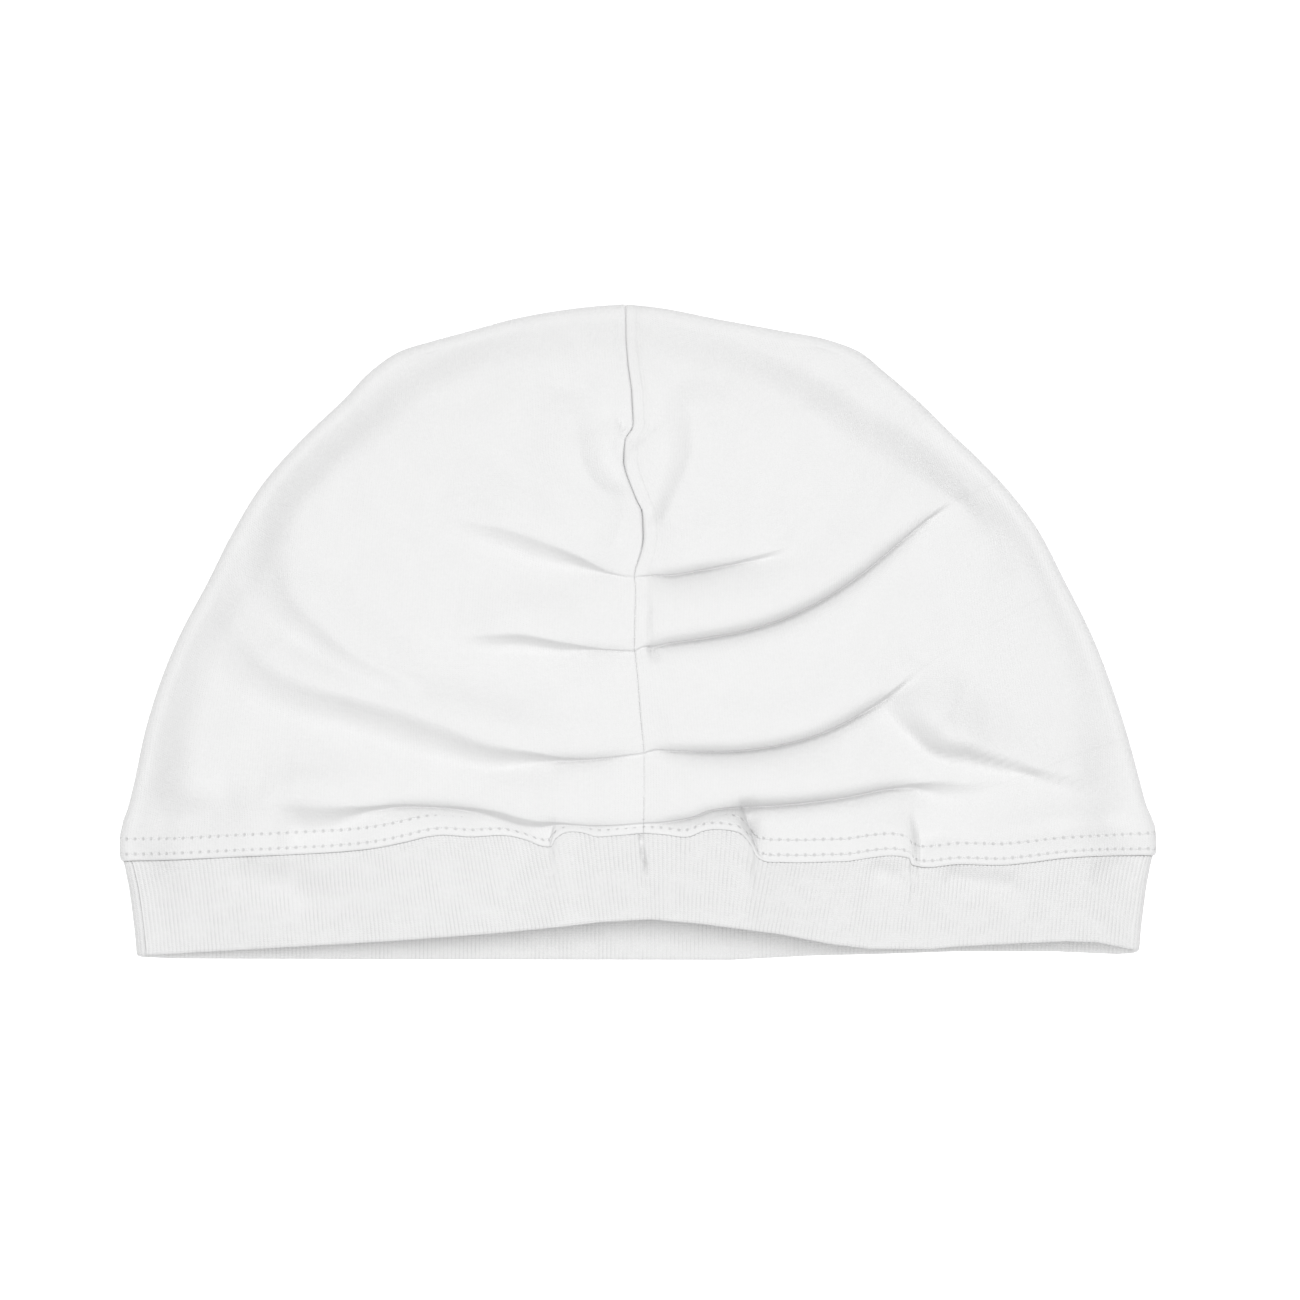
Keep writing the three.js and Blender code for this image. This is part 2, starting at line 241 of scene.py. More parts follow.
@dataclass(frozen=True)
class Crease:
    """A fold where the cloth on its high side rolls over the cloth on its low side.

    Attributes:
        name: what it is.
        low: the hand on which the low side lies.
        rows: x, y, drop and half width of each point; a half width of 0.3 is a crisp fold.
    """

    name: str
    low: Hand
    rows: Table

    CRISP = 0.26  # half width of the crispest fold
    SOFTENS = 1.2  # how much wider than that a fold is as it turns soft
    CREST = 0.3  # how high the high side stands, as a share of the drop
    SOFT_CREST = 0.35  # what softness adds to that
    LEVEL = 5.0  # how far behind the line the high side stays level
    FALL = 8.0  # the width over which it falls away behind that
    ROUNDED = 0.42  # how far a crisp fold's lip bends down over the level part
    ONSET = 0.3  # how far past the line the middle of the fold lies
    WIDER = 0.7  # how much wider a soft fold turns down
    SOONER = 0.25  # how much sooner it does
    TROUGH = -0.65  # how deep the low side lies, as a share of the drop
    SHALLOWER = 0.6  # how much of that softness takes away
    # The length in which the low side comes level again, what each millimetre of half width
    # adds to it, and what softness adds.
    FILLS, FILLS_BY_WIDTH, FILLS_BY_SOFTNESS = 1.8, 1.2, 4.0
    REACH = 26.0  # how far from its line a fold lifts the cloth
    FADE = 10.0  # the last of that, over which it fades
    PAST_END = 3.0  # how far a fold runs on past the ends of its line

    def relief(self, points: Array) -> Array:
        """Works out how far the fold lifts the cloth.

        Args:
            points: places in plan.

        Returns:
            The lift at each.
        """
        line = Line(self.rows)
        lift = np.zeros(len(points))
        near = line.reaches(points, self.REACH)
        points = points[near]
        index, away = nearest(points, line.points)
        drop, width = line.values[index].T
        down = line.right()[index] * self.low.value
        s = ((points - line.points[index]) * down).sum(1)
        past = np.sqrt(np.maximum(away**2 - s**2, 0))
        fade = 1 - smoothstep((np.abs(s) - self.REACH) / self.FADE + 1)
        lift[near] = drop * bell(past, self.PAST_END) * fade * self.section(s, width)
        return lift

    def section(self, s: Array, width: Array) -> Array:
        """The height across the line as a share of the drop.

        Args:
            s: how far onto the low side.
            width: the half width there.

        Returns:
            The shares.
        """
        soft = 1 - np.exp(-(width - self.CRISP) / self.SOFTENS)
        behind = bell(np.maximum(-s - self.LEVEL, 0), self.FALL)
        lip = np.clip(1 + np.minimum(s, 0) / self.LEVEL, 0, 1) ** 4
        high = (self.CREST + self.SOFT_CREST * soft) * behind
        high -= self.ROUNDED * (1 - soft) * lip
        start = s - self.ONSET + width
        span = width * (2 + self.WIDER * soft)
        fills = self.FILLS + self.FILLS_BY_WIDTH * width + self.FILLS_BY_SOFTNESS * soft
        past = np.maximum(start - span, 0) / fills
        low = self.TROUGH * (1 - self.SHALLOWER * soft) * np.exp(-past)
        turned = smoothstep(np.clip(start / span, 0, 1) ** (1 - self.SOONER * soft))
        return mix(high, low, turned)


class Roll(Crease):
    """A fold that rolls down ever more steeply over a width, and ends on flat cloth."""

    CREST = 0.65
    FALL = 9.0
    TROUGH = -0.35
    FILLS = 14.0

    def section(self, s: Array, width: Array) -> Array:
        """The height across the line as a share of the drop."""
        high = self.CREST * bell(np.maximum(-s - width, 0), self.FALL)
        low = self.TROUGH * np.exp(-np.maximum(s, 0) / self.FILLS)
        turned = 2 * smoothstep(np.clip(1 + s / width, 0, 1) / 2)
        return mix(high, low, turned)


@dataclass(frozen=True)
class Swell:
    """A soft ridge or hollow along a line.

    Attributes:
        name: what it is.
        rows: x, y, height and half width of each point; a hollow's height is negative.
    """

    name: str
    rows: Table

    WIDTHS = 3  # a swell is lost this many widths from its line

    def relief(self, points: Array) -> Array:
        """The lift at each of the points."""
        line = Line(self.rows)
        lift = np.zeros(len(points))
        near = line.reaches(points, self.WIDTHS * line.values[:, 1].max())
        index, away = nearest(points[near], line.points)
        height, width = line.values[index].T
        lift[near] = height * bell(away, width)
        return lift


# The pleats of the gathered seam, each from the seam to the outline: x, y, drop, half width.
PLEATS: dict[Side, tuple[Crease, ...]] = {
    Side.LEFT: (
        Crease("hem pleat", Hand.LEFT, (
            (1.1, -47.4, 0.6, 0.3), (-5.5, -47.9, 2.0, 0.26), (-11.2, -48, 2.7, 0.26),
            (-16.5, -47.7, 2.6, 0.3), (-20, -47.5, 3.3, 0.4), (-24.5, -47.7, 4.2, 0.8),
            (-29, -47.1, 5.4, 1.1), (-34.8, -45.4, 5.4, 1), (-42, -44, 5.0, 0.5),
            (-49.5, -43.3, 4.5, 0.3), (-59.5, -43.1, 4.5, 0.4), (-68, -44, 4.6, 0.8),
            (-77, -45.2, 5.8, 2.6), (-86, -45, 5.4, 3.4), (-95, -44, 1.8, 4),
            (-104, -43, 0.9, 4), (-112, -42, 2.6, 4), (-119, -40.5, 1.6, 4), (-125, -38, 0, 3),
        )),
        Crease("third pleat", Hand.LEFT, (
            (1.2, -29.9, 0.6, 0.3), (-4, -30.6, 2.4, 0.26), (-9.5, -31.2, 3.8, 0.26),
            (-19.5, -31.4, 5.0, 0.5), (-27, -30.8, 5.6, 1.5), (-34.5, -30.3, 6.6, 2.5),
            (-50.1, -25.8, 6.3, 3.6), (-60.6, -22.2, 6.1, 3.7), (-72.6, -18.6, 6.5, 3.4),
            (-85.5, -15, 5.8, 3.8), (-95.5, -9.4, 5.4, 4), (-102, -2.4, 3.0, 4.2),
            (-107.3, 3, 1.6, 4.2), (-111.5, 10, 0, 4),
        )),
        Crease("second pleat", Hand.LEFT, (
            (-1.0, -4.4, 0.8, 0.3), (-4, -4.3, 2.1, 0.26), (-9.5, -4, 2.8, 0.26),
            (-19.5, -3.1, 4.4, 1.1), (-29.5, -1.6, 4.6, 1.5), (-36, -1.7, 3.2, 1.6),
            (-41, -1.9, 1.5, 1.6), (-46, -1.8, 0.5, 1.8), (-52, 0.6, 0, 2.2),
            (-58, 3, 0, 2.5), (-78, 15, 0, 2.5), (-96, 31, 0, 2.5),
        )),
        Crease("first pleat", Hand.LEFT, (
            (-0.8, 14.1, 0.3, 0.3), (-4, 14.4, 1.2, 0.3), (-8, 15.3, 2.4, 0.4),
            (-14.5, 17.8, 4.6, 1.3), (-24.5, 21.2, 4.6, 2.4), (-34.5, 24.6, 3.6, 2.2),
            (-43, 26.4, 1.7, 2), (-51, 29.5, 0, 2.5), (-63, 36.5, 0, 3),
            (-78.2, 50.6, 0, 3),
        )),
    ),
    Side.RIGHT: (
        Crease("hem pleat", Hand.RIGHT, (
            (1.1, -47.4, 0.6, 0.3), (5.6, -47.2, 2.8, 0.26), (9.5, -46.7, 4.4, 0.26),
            (13.8, -45.8, 4.6, 0.26), (17, -44.5, 4.9, 0.26), (21, -43.7, 5.0, 0.26),
            (25.5, -43.3, 6.2, 0.3), (35.5, -42.7, 6.8, 0.35), (53, -40.6, 6.0, 0.3),
            (62, -38.8, 5.8, 0.3), (68, -38.2, 5.2, 0.5), (76, -38.6, 4.2, 2),
            (84, -38.9, 1.8, 1.8), (92, -37, 0, 2), (108, -31, 0, 3), (120.2, -27, 0, 3),
        )),
        Crease("third pleat", Hand.RIGHT, (
            (1.2, -29.9, 0.6, 0.3), (4, -29.1, 1.9, 0.26), (8, -29.2, 4.2, 0.26),
            (15.5, -29.4, 6.0, 0.26), (25.5, -29.2, 6.4, 0.26), (36, -27.7, 6.4, 0.26),
            (46.2, -24.7, 6.3, 0.26), (54.7, -20.5, 6.0, 0.26), (62, -15.9, 4.6, 0.5),
            (66.7, -12.2, 2.0, 0.8), (71, -8.6, 0, 1.6), (88, 2, 0, 2.5), (106.4, 11.5, 0, 2.5),
        )),
        Crease("second pleat", Hand.RIGHT, (
            (-1.0, -4.4, 0.6, 0.3), (0.8, -3.5, 0.9, 0.3), (2.2, -3.2, 1.8, 0.26),
            (3.4, -3.2, 4.6, 0.26), (8, -2.4, 5.7, 0.26), (15.5, -1.3, 6.4, 0.26),
            (25.5, 0.5, 6.7, 0.26), (35.5, 3.5, 7.0, 0.26), (45.5, 8.2, 6.7, 0.26),
            (55.5, 14.8, 6.0, 0.26), (65.5, 23, 5.0, 0.26), (73, 29.1, 3.0, 0.4),
            (79, 33, 0, 1.2), (88.9, 37.6, 0, 2),
        )),
        Crease("first pleat", Hand.RIGHT, (
            (-0.8, 14.1, 0.4, 0.3), (4, 14.5, 3.2, 0.26), (8, 14.6, 5.2, 0.26),
            (15.5, 15.8, 6.0, 0.26), (25.5, 17.8, 4.4, 0.4), (33, 19.6, 2.2, 0.7),
            (40, 21.5, 0, 1.4), (56, 32, 0, 2.5), (72.6, 52.4, 0, 2.5),
        )),
    ),
}
# A plain row of cloth above the pleats, from the seam to the outline.
PLAIN: dict[Side, Table] = {
    Side.LEFT: ((-1.2, 52.5), (-20, 53), (-40, 57), (-61.8, 66.8)),
    Side.RIGHT: ((-1.2, 52.5), (19, 53), (38, 57), (57.2, 66.8)),
}
# Folds that leave the seam's gathers, or cross them.
CREASES: tuple[Crease, ...] = (
    Crease("left lobe", Hand.RIGHT, (
        (-60, 58, 0, 4.5), (-71.5, 51.4, 1.5, 4.5), (-80, 42.6, 1.8, 4.5), (-87.2, 34.2, 2.0, 4.5),
        (-90.4, 26, 3.2, 4.5), (-91.4, 16.3, 4.3, 4.4), (-90.2, 10, 5.0, 4.2),
        (-86.5, 4.6, 5.0, 3.6), (-80.5, -0.3, 4.8, 3), (-74.2, -5.2, 4.4, 2.5),
        (-67.5, -8.9, 3.7, 2.2), (-60.5, -12, 2.8, 2), (-53, -15.5, 0, 2.5),
    )),
    Roll("right slack fold", Hand.RIGHT, (
        (59, -15.5, 0, 7), (64, -21.8, 4.2, 7.4), (68.4, -26.2, 7.0, 7.8), (72.2, -29.8, 8.8, 7.6),
        (76.2, -31.3, 8.8, 6.8), (81.3, -31.7, 8.2, 5.2), (85.3, -32.5, 6.2, 3.8),
        (89.8, -33.5, 4.6, 2.9), (95.6, -35, 3.2, 2.7), (101.5, -36.7, 2.9, 2.6),
        (108.5, -38.5, 2.2, 2.2), (114, -40.4, 0, 2),
    )),
    Crease("left of the upper seam", Hand.LEFT, (
        (-13.2, 60, 0, 3.2), (-13.6, 54.2, 2.4, 3.2), (-12.9, 47.5, 3.2, 3),
        (-11.8, 41.7, 3.2, 2.6), (-9.2, 37.6, 2.6, 2.2), (-5.8, 35.2, 2.2, 1.9),
        (-2.8, 34.5, 0.8, 1.6),
    )),
    Crease("right of the upper seam", Hand.RIGHT, (
        (9, 62, 0, 3.2), (10, 56.1, 2.3, 3.2), (11.2, 50.5, 2.9, 3), (11.3, 44.3, 3.0, 2.6),
        (9.3, 38, 2.5, 2.2), (7, 33, 2.6, 1.9), (5.5, 28.8, 2.4, 1.5), (4.4, 25.8, 0, 1.5),
    )),
    Crease("right shoulder nick", Hand.LEFT, (
        (64, 46, 0, 4), (71.5, 41, 1.8, 4), (79, 35.2, 3.0, 2.6), (81.5, 33.4, 3.2, 1.6),
        (86, 28.5, 2.4, 3), (92, 21, 1.4, 3), (96, 15, 0, 3),
    )),
    Crease("hem step", Hand.LEFT, (
        (26.3, -46, 3.6, 0.3), (26.9, -47.6, 5.1, 0.3), (28.1, -51, 4.8, 0.3),
        (29.3, -54.4, 3.1, 0.3), (30.8, -56.8, 1.1, 0.3), (32.4, -58.4, 0, 0.3),
    )),
    Crease("hem notch", Hand.RIGHT, (
        (-20, -46.4, 0, 0.3), (-20.6, -48.4, 0.9, 0.4), (-21.2, -51, 1.4, 0.4),
        (-21.6, -53.4, 1.1, 0.3),
    )),
    Crease("left hem shade", Hand.LEFT, (
        (-91, -38, 0, 3.4), (-90.4, -42.5, 2.0, 3.2), (-89.4, -48, 3.3, 3),
        (-88.6, -54, 2.7, 2.8), (-88, -60, 1.2, 2.8), (-88, -66, 0, 2.8),
    )),
    Crease("hem tuck", Hand.LEFT, (
        (67.4, -43.5, 0, 0.3), (68, -46.5, 1.2, 0.3), (68.8, -50, 2.6, 0.3),
        (69.4, -54, 3.2, 0.3), (69.6, -58, 1.7, 0.3), (69.6, -61, 0, 0.3),
    )),
    Crease("seam tick", Hand.LEFT, (
        (-6.2, 54, 0, 0.3), (-5.2, 52.3, 1.4, 0.3), (-4.1, 50.6, 1.8, 0.3),
        (-3, 48.8, 1.2, 0.3),
    )),
)
SWELLS: tuple[Swell, ...] = (
    Swell("beside the tick", ((-4.6, 47.8, -0.6, 1.6), (-4.3, 45, -0.6, 1.4))),
    Swell("loop under the second pleat", ((3.6, -4.4, -1.7, 0.8), (4.5, -6.2, -1.1, 0.9))),
    Swell("hem hump", ((14, -48, 0.6, 3), (20, -47, 1.2, 3.5), (24.5, -47.5, 1.2, 3))),
    Swell("shadow of the step", ((28, -44.5, -1.4, 2.2), (28.6, -50, -0.7, 1.6))),
    Swell("left hem hollow", ((-104, -45, -0.8, 5), (-111, -47, -1.6, 4), (-118, -48, -1.4, 4))),
    Swell("right hem shade", (
        (90, -50, -0.8, 4), (98, -49, -2.0, 4.5), (110, -48, -2.6, 4.5), (123, -47.5, -2.4, 4.5),
    )),
    Swell("beyond the tuck", ((72.5, -51, -1.5, 2.6), (82, -51, -0.7, 3))),
)
# Dents of the band, in the same columns.
BAND_SWELLS: tuple[Swell, ...] = (
    Swell("left", ((-97, -61, -1.6, 5), (-88, -63, -2.2, 5), (-82, -66, -1.2, 5))),
    Swell("middle left", ((-50, -59, -0.4, 6), (-40, -62, -0.3, 7))),
    Swell("right of the step", ((33, -62, -0.5, 6), (50, -63, -0.4, 7))),
    Swell("beneath the tuck", ((60.5, -59.5, -1.3, 2.6), (64, -61, -1.1, 2.6))),
    Swell("right", ((79, -61.4, -1.8, 3), (92, -63.4, -1.8, 3))),
    Swell("far right", ((116, -60.2, -1.6, 2.8), (123, -61.4, -1.4, 2.8))),
    Swell("seam", ((1.4, -50.5, -0.3, 0.6), (2, -61, -0.2, 0.5), (3, -72, -0.12, 0.5))),
    Swell("first stitch", ((0.6, -51, -1.3, 0.45), (0.8, -52, -1.3, 0.45))),
    Swell("second stitch", ((1.1, -54.4, -1.9, 0.45), (1.2, -55.6, -1.9, 0.45))),
    Swell("third stitch", ((1.7, -57.6, -1.7, 0.45), (1.8, -58.8, -1.7, 0.45))),
)
# The front hem, where the crown meets the band.
HEM: Table = (
    (-129.6, -57.4), (-120, -57.2), (-109.5, -56.7), (-97, -56), (-84.5, -55.5), (-74, -54.9),
    (-64.5, -53.8), (-57, -52.2), (-53, -51.2), (-49.5, -50.7), (-42, -51.1), (-32, -50.9),
    (-27.5, -52), (-24, -53.4), (-21.6, -53.4), (-20.6, -51.6), (-18.6, -50.2), (-13.5, -50.1),
    (-10.5, -51), (-6.1, -50.8), (1.4, -50.2), (6.4, -50.5), (13, -51), (16, -49.7),
    (22.5, -49.4), (25.5, -50.2), (28.4, -53.5), (29.6, -56), (31.4, -57.1), (35.5, -57.4),
    (48, -57.3), (53, -57.1), (56, -56.6), (66.6, -56.2), (67.6, -56.5), (68.3, -58.1),
    (69.6, -58.5), (80, -58), (92, -58.2), (98, -57.6), (106, -56.6), (112, -56.2),
    (129.6, -56.3),
)
# The straight hem across the back, and its y where the back seam meets it.
BACK_HEM: Table = ((-129, -57.4), (129, -56))
BACK_FOOT = read(BACK_HEM, np.zeros(1))[0]
# Each side's outline from the hem to the apex: x and y; then, of the slope inside it, where
# it starts, its width and its rise.
OUTLINE: dict[Side, Table] = {
    Side.LEFT: (
        (-HALF_WIDTH + 0.2, -57.4, 2, 13, 3.4), (-HALF_WIDTH, -54, 2, 13, 3.4),
        (-129.6, -49, 1, 13, 3.6), (-127.9, -44, 0, 12, 3.8), (-126.4, -38, -0.5, 12, 4.0),
        (-123.5, -24.5, -1, 12, 4.6), (-119.6, -12, -1.2, 11, 4.0), (-115.5, -2, -1, 10, 2.8),
        (-107.6, 13.1, 0, 9, 1.6), (-102, 24.3, 1, 11, 2.4), (-94.3, 36.9, -1, 10, 4.2),
        (-83.2, 49.4, -1.5, 13, 4.8), (-74, 58.1, 0, 13, 4.6), (-67, 65.4, 1.5, 12, 4.0),
        (-60.5, 70, 3, 10, 3.2), (-51.4, 73, 0.5, 9, 3.2), (-44, 75, -1, 9, 3.2),
        (-31.2, 78.5, -1, 10, 1.8), (-12.8, 81.5, 0, 12, 1.4), (-3.2, APEX_Y, 0, 12, 1.4),
    ),
    Side.RIGHT: (
        (HALF_WIDTH - 0.1, -56, 2, 16, 4.2), (HALF_WIDTH, -53, 2, 16, 4.2),
        (129.6, -48.5, 2, 16, 4.2), (127.5, -43.5, 2, 16, 4.2), (126, -38, 2, 16, 4.0),
        (122.3, -24.5, 0, 12, 1.4), (118.2, -12, 0, 8, 1.2), (114.3, -2, 0, 6, 1.2),
        (106.9, 13, 0, 5, 1.4), (99.8, 26.4, -0.5, 6, 2.4), (92.8, 35.6, -0.5, 9, 4.2),
        (85.5, 43.3, 0, 10, 4.8), (78, 50.4, 1.5, 11, 5.0), (70.2, 58, 4.5, 12, 5.4),
        (61.4, 65.6, 7, 13, 5.8), (56, 70, 8, 12, 5.4), (48.5, 73, 6.5, 11, 4.8),
        (35, 75.7, 3, 9, 3.8), (19.8, 78.5, 1, 10, 2.0), (6, 81.2, 0, 12, 1.6),
        (-3.2, APEX_Y, 0, 12, 1.4),
    ),
}
TOP_CORNER = 0.76  # along an outline, where a half's top row turns into its side


class Outline:
    """One side's outline, and the line inside it that the flattened edge turns about."""

    CORNER = 4.0  # the length at either end over which the edge turns square to the cap

    def __init__(self, side: Side) -> None:
        """Lays both lines.

        Args:
            side: the side of the cap.
        """
        self.line = Line(OUTLINE[side])
        out = self.line.right() * side.value
        ends = (
            (self.line.along, (side.value, 0)),
            (self.line.length - self.line.along, (0, 1)),
        )
        for away, way in ends:
            ease = smoothstep(away / self.CORNER)[:, None]
            out = mix(np.array(way), out, ease)
        self.out = unit(out)
        self.inset = self.line.points - self.out * EDGE_RADIUS


class HeightMap:
    """Heights on a grid of one-millimetre squares, read smoothly between its points."""

    LOW = np.array([-140, -70])
    SHAPE = (281, 166)

    def __init__(self, heights: Array) -> None:
        """Keeps the heights, one for each of the grid's points."""
        self.heights = heights.reshape(self.SHAPE)

    @classmethod
    def places(cls) -> Array:
        """The grid's points in plan."""
        steps = np.indices(cls.SHAPE).reshape(2, -1).T
        return cls.LOW + steps.astype(float)

    def blurred(self, width: float) -> Array:
        """The heights, softened over a width."""
        reach = int(3 * width)
        kernel = np.exp(-((np.arange(-reach, reach + 1) / width) ** 2) / 2)
        kernel /= kernel.sum()
        soft = np.pad(self.heights, reach, mode="edge")
        soft = np.apply_along_axis(np.convolve, 0, soft, kernel, "valid")
        return np.apply_along_axis(np.convolve, 1, soft, kernel, "valid")

    def read(self, points: Array) -> Array:
        """Reads the map at points in plan.

        Args:
            points: places in plan.

        Returns:
            The heights there, from cubic splines.
        """
        at = np.clip(points - self.LOW, 1, np.array(self.SHAPE) - 3)
        cell = at.astype(int)
        t = at - cell
        weights = np.stack(
            [(1 - t) ** 3, 3 * t**3 - 6 * t**2 + 4, -3 * t**3 + 3 * t**2 + 3 * t + 1, t**3]
        ) / 6
        total = np.zeros(len(points))
        for i in range(4):
            for j in range(4):
                height = self.heights[cell[:, 0] + i - 1, cell[:, 1] + j - 1]
                total += weights[i, :, 0] * weights[j, :, 1] * height
        return total


class Front:
    """The upper surface of the cap's front, before the seam and the hem are drawn in."""

    SEAM_FOOT = (1.4, -50.2)  # where the front seam meets the hem
    HEM_END = 2.0  # how far short of the outline the hem's own points stop
    RISE = 12.4  # from the flattened edge to the middle
    SPREAD = 30.0  # how far in from the edge most of that lies
    MIXED = 4.0  # the distance over which the edge's slopes mix
    SOFT_FROM = 16.0  # how far in from the edge, and over how much further, heights turn soft
    SOFTENED = 7  # the width over which they are softened
    EVEN = 15.0  # how far in from the edge the unevenness is held back
    COVER = 9.0  # how far in from the edge the folds are held back
    SAG = 0.4  # how far below the edge's top a fold may dip
    # Shallow unevenness of cloth lying loose: wave lengths across and along, turn, height.
    UNEVEN: Table = (
        (31, 47, 0.4, 0.13), (19, 38, 2.1, 0.09), (43, 23, 1.2, 0.11), (13, 29, 0.9, 0.05),
        (11, 17, 2.6, 0.035), (24, 15, 1.7, 0.05), (8, 12, 0.2, 0.018),
    )

    def __init__(self) -> None:
        """Maps the smooth cloth's height and its distance from the edge."""
        self.outlines = {side: Outline(side) for side in Side}
        self.hems = {side: self.hem_line(side) for side in Side}
        edge = np.vstack([outline.inset[::2] for outline in self.outlines.values()])
        slope = np.vstack([outline.line.values[::2] for outline in self.outlines.values()])
        points = HeightMap.places()
        away = np.empty(len(points))
        near_slope = np.empty((len(points), 3))
        for start in range(0, len(points), BATCH):
            part = slice(start, start + BATCH)
            distance = np.sqrt(((points[part, None] - edge[None]) ** 2).sum(-1))
            away[part] = distance.min(1)
            near = np.exp(-(distance - distance.min(1, keepdims=True)) / self.MIXED)
            near_slope[part] = near @ slope / near.sum(1, keepdims=True)
        self.away = HeightMap(away)
        height = HeightMap(self.loft(points, away, near_slope))
        inner = smoothstep((away - self.SOFT_FROM) / self.SOFT_FROM).reshape(HeightMap.SHAPE)
        self.height = HeightMap(mix(height.heights, height.blurred(self.SOFTENED), inner))

    def hem_line(self, side: Side) -> Line:
        """The front hem from the seam out to one side."""
        end = self.outlines[side].inset[0]
        sign = side.value
        low, high = self.SEAM_FOOT[0] * sign, end[0] * sign - self.HEM_END
        rows = [row for row in HEM if low < row[0] * sign < high]
        rows.sort(key=lambda row: row[0] * sign)
        return Line([self.SEAM_FOOT, *rows, tuple(end)])

    def hem_y(self, x: Array) -> Array:
        """The front hem's y at places across the cap."""
        left, right = (self.hems[side].points for side in Side)
        points = np.vstack([left[::-1], right[1:]])
        return np.interp(x, np.maximum.accumulate(points[:, 0]), points[:, 1])

    def loft(self, points: Array, away: Array, slope: Array) -> Array:
        """Works out the height of the smooth cloth.

        Args:
            points: places in plan.
            away: their distances from the edge.
            slope: for each, where the slope inside the edge starts, its width and its rise.

        Returns:
            The heights.
        """
        start, width, rise = slope.T
        height = rise * smoothstep((away - start) / width)
        height += (self.RISE - rise) * (1 - np.exp(-away / self.SPREAD))
        uneven = np.zeros(len(points))
        for across, along, turn, swing in self.UNEVEN:
            x = points[:, 0] * math.cos(turn) + points[:, 1] * math.sin(turn)
            y = points[:, 1] * math.cos(turn) - points[:, 0] * math.sin(turn)
            uneven += swing * np.sin(2 * np.pi * x / across) * np.cos(2 * np.pi * y / along)
        return EDGE_TOP + height + uneven * smoothstep(away / self.EVEN)

    def raised(self, points: Array) -> Array:
        """Puts points in plan on the surface.

        Args:
            points: places in plan.

        Returns:
            Their places in space.
        """
        lift = np.zeros(len(points))
        for fold in (*PLEATS[Side.LEFT], *PLEATS[Side.RIGHT], *CREASES, *SWELLS):
            lift += fold.relief(points)
        cover = smoothstep(self.away.read(points) / self.COVER)
        height = np.maximum(self.height.read(points) + lift * cover, EDGE_TOP - self.SAG)
        return np.column_stack([points, height])


def new_mesh(name: str, points: Array, faces: Sequence[Sequence[int]], **maps: Array) -> Any:
    """Makes a mesh object at the origin.

    Args:
        name: the object's name.
        points: its vertices in millimetres.
        faces: the vertices of each face.
        **maps: for each UV map, a place for each vertex or each face corner, in millimetres.

    Returns:
        The object, shaded smooth.
    """
    mesh = bpy.data.meshes.new(name)
    mesh.from_pydata((points * MM).tolist(), [], [tuple(map(int, face)) for face in faces])
    corner = np.empty(len(mesh.loops), int)
    mesh.loops.foreach_get("vertex_index", corner)
    for key, uv in maps.items():
        layer = mesh.uv_layers.new(name=key)
        placed = uv if len(uv) == len(corner) else uv[corner]
        layer.data.foreach_set("uv", placed.ravel())
    mesh.shade_smooth()
    obj = bpy.data.objects.new(name, mesh)
    bpy.context.scene.collection.objects.link(obj)
    return obj


def apply_modifier(obj: Any, kind: str, **settings: Any) -> None:
    """Adds a modifier to an object and applies it.

    Args:
        obj: the object.
        kind: the modifier's type.
        **settings: its settings.
    """
    bpy.ops.object.select_all(action="DESELECT")
    obj.select_set(True)
    bpy.context.view_layer.objects.active = obj
    modifier = obj.modifiers.new(kind.title(), kind)
    for key, value in settings.items():
        setattr(modifier, key, value)
    bpy.ops.object.modifier_apply(modifier=modifier.name)


def grid_faces(numbers: Array, flip: bool = False) -> list[list[int]]:
    """The cells of a grid of vertices.

    Args:
        numbers: the vertices' numbers, row by row.
        flip: whether the cells run the other way round.

    Returns:
        Four vertices for each cell.
    """
    corners = [numbers[:-1, :-1], numbers[:-1, 1:], numbers[1:, 1:], numbers[1:, :-1]]
    if flip:
        corners[1], corners[3] = corners[3], corners[1]
    return np.stack(corners, axis=-1).reshape(-1, 4).tolist()


def lengths(points: Array, axis: int) -> Array:
    """Lengths along a grid's lines, from the start of each."""
    steps = np.linalg.norm(np.diff(points, axis=axis), axis=-1)
    pad = [(0, 0)] * steps.ndim
    pad[axis] = (1, 0)
    return np.pad(np.cumsum(steps, axis=axis), pad)


def rolled(away: Array, reach: float) -> Array:
    """How far an edge rolls in: 1 at the edge and 0 past its reach."""
    return np.clip(1 - away / reach, 0, 1) ** CURL


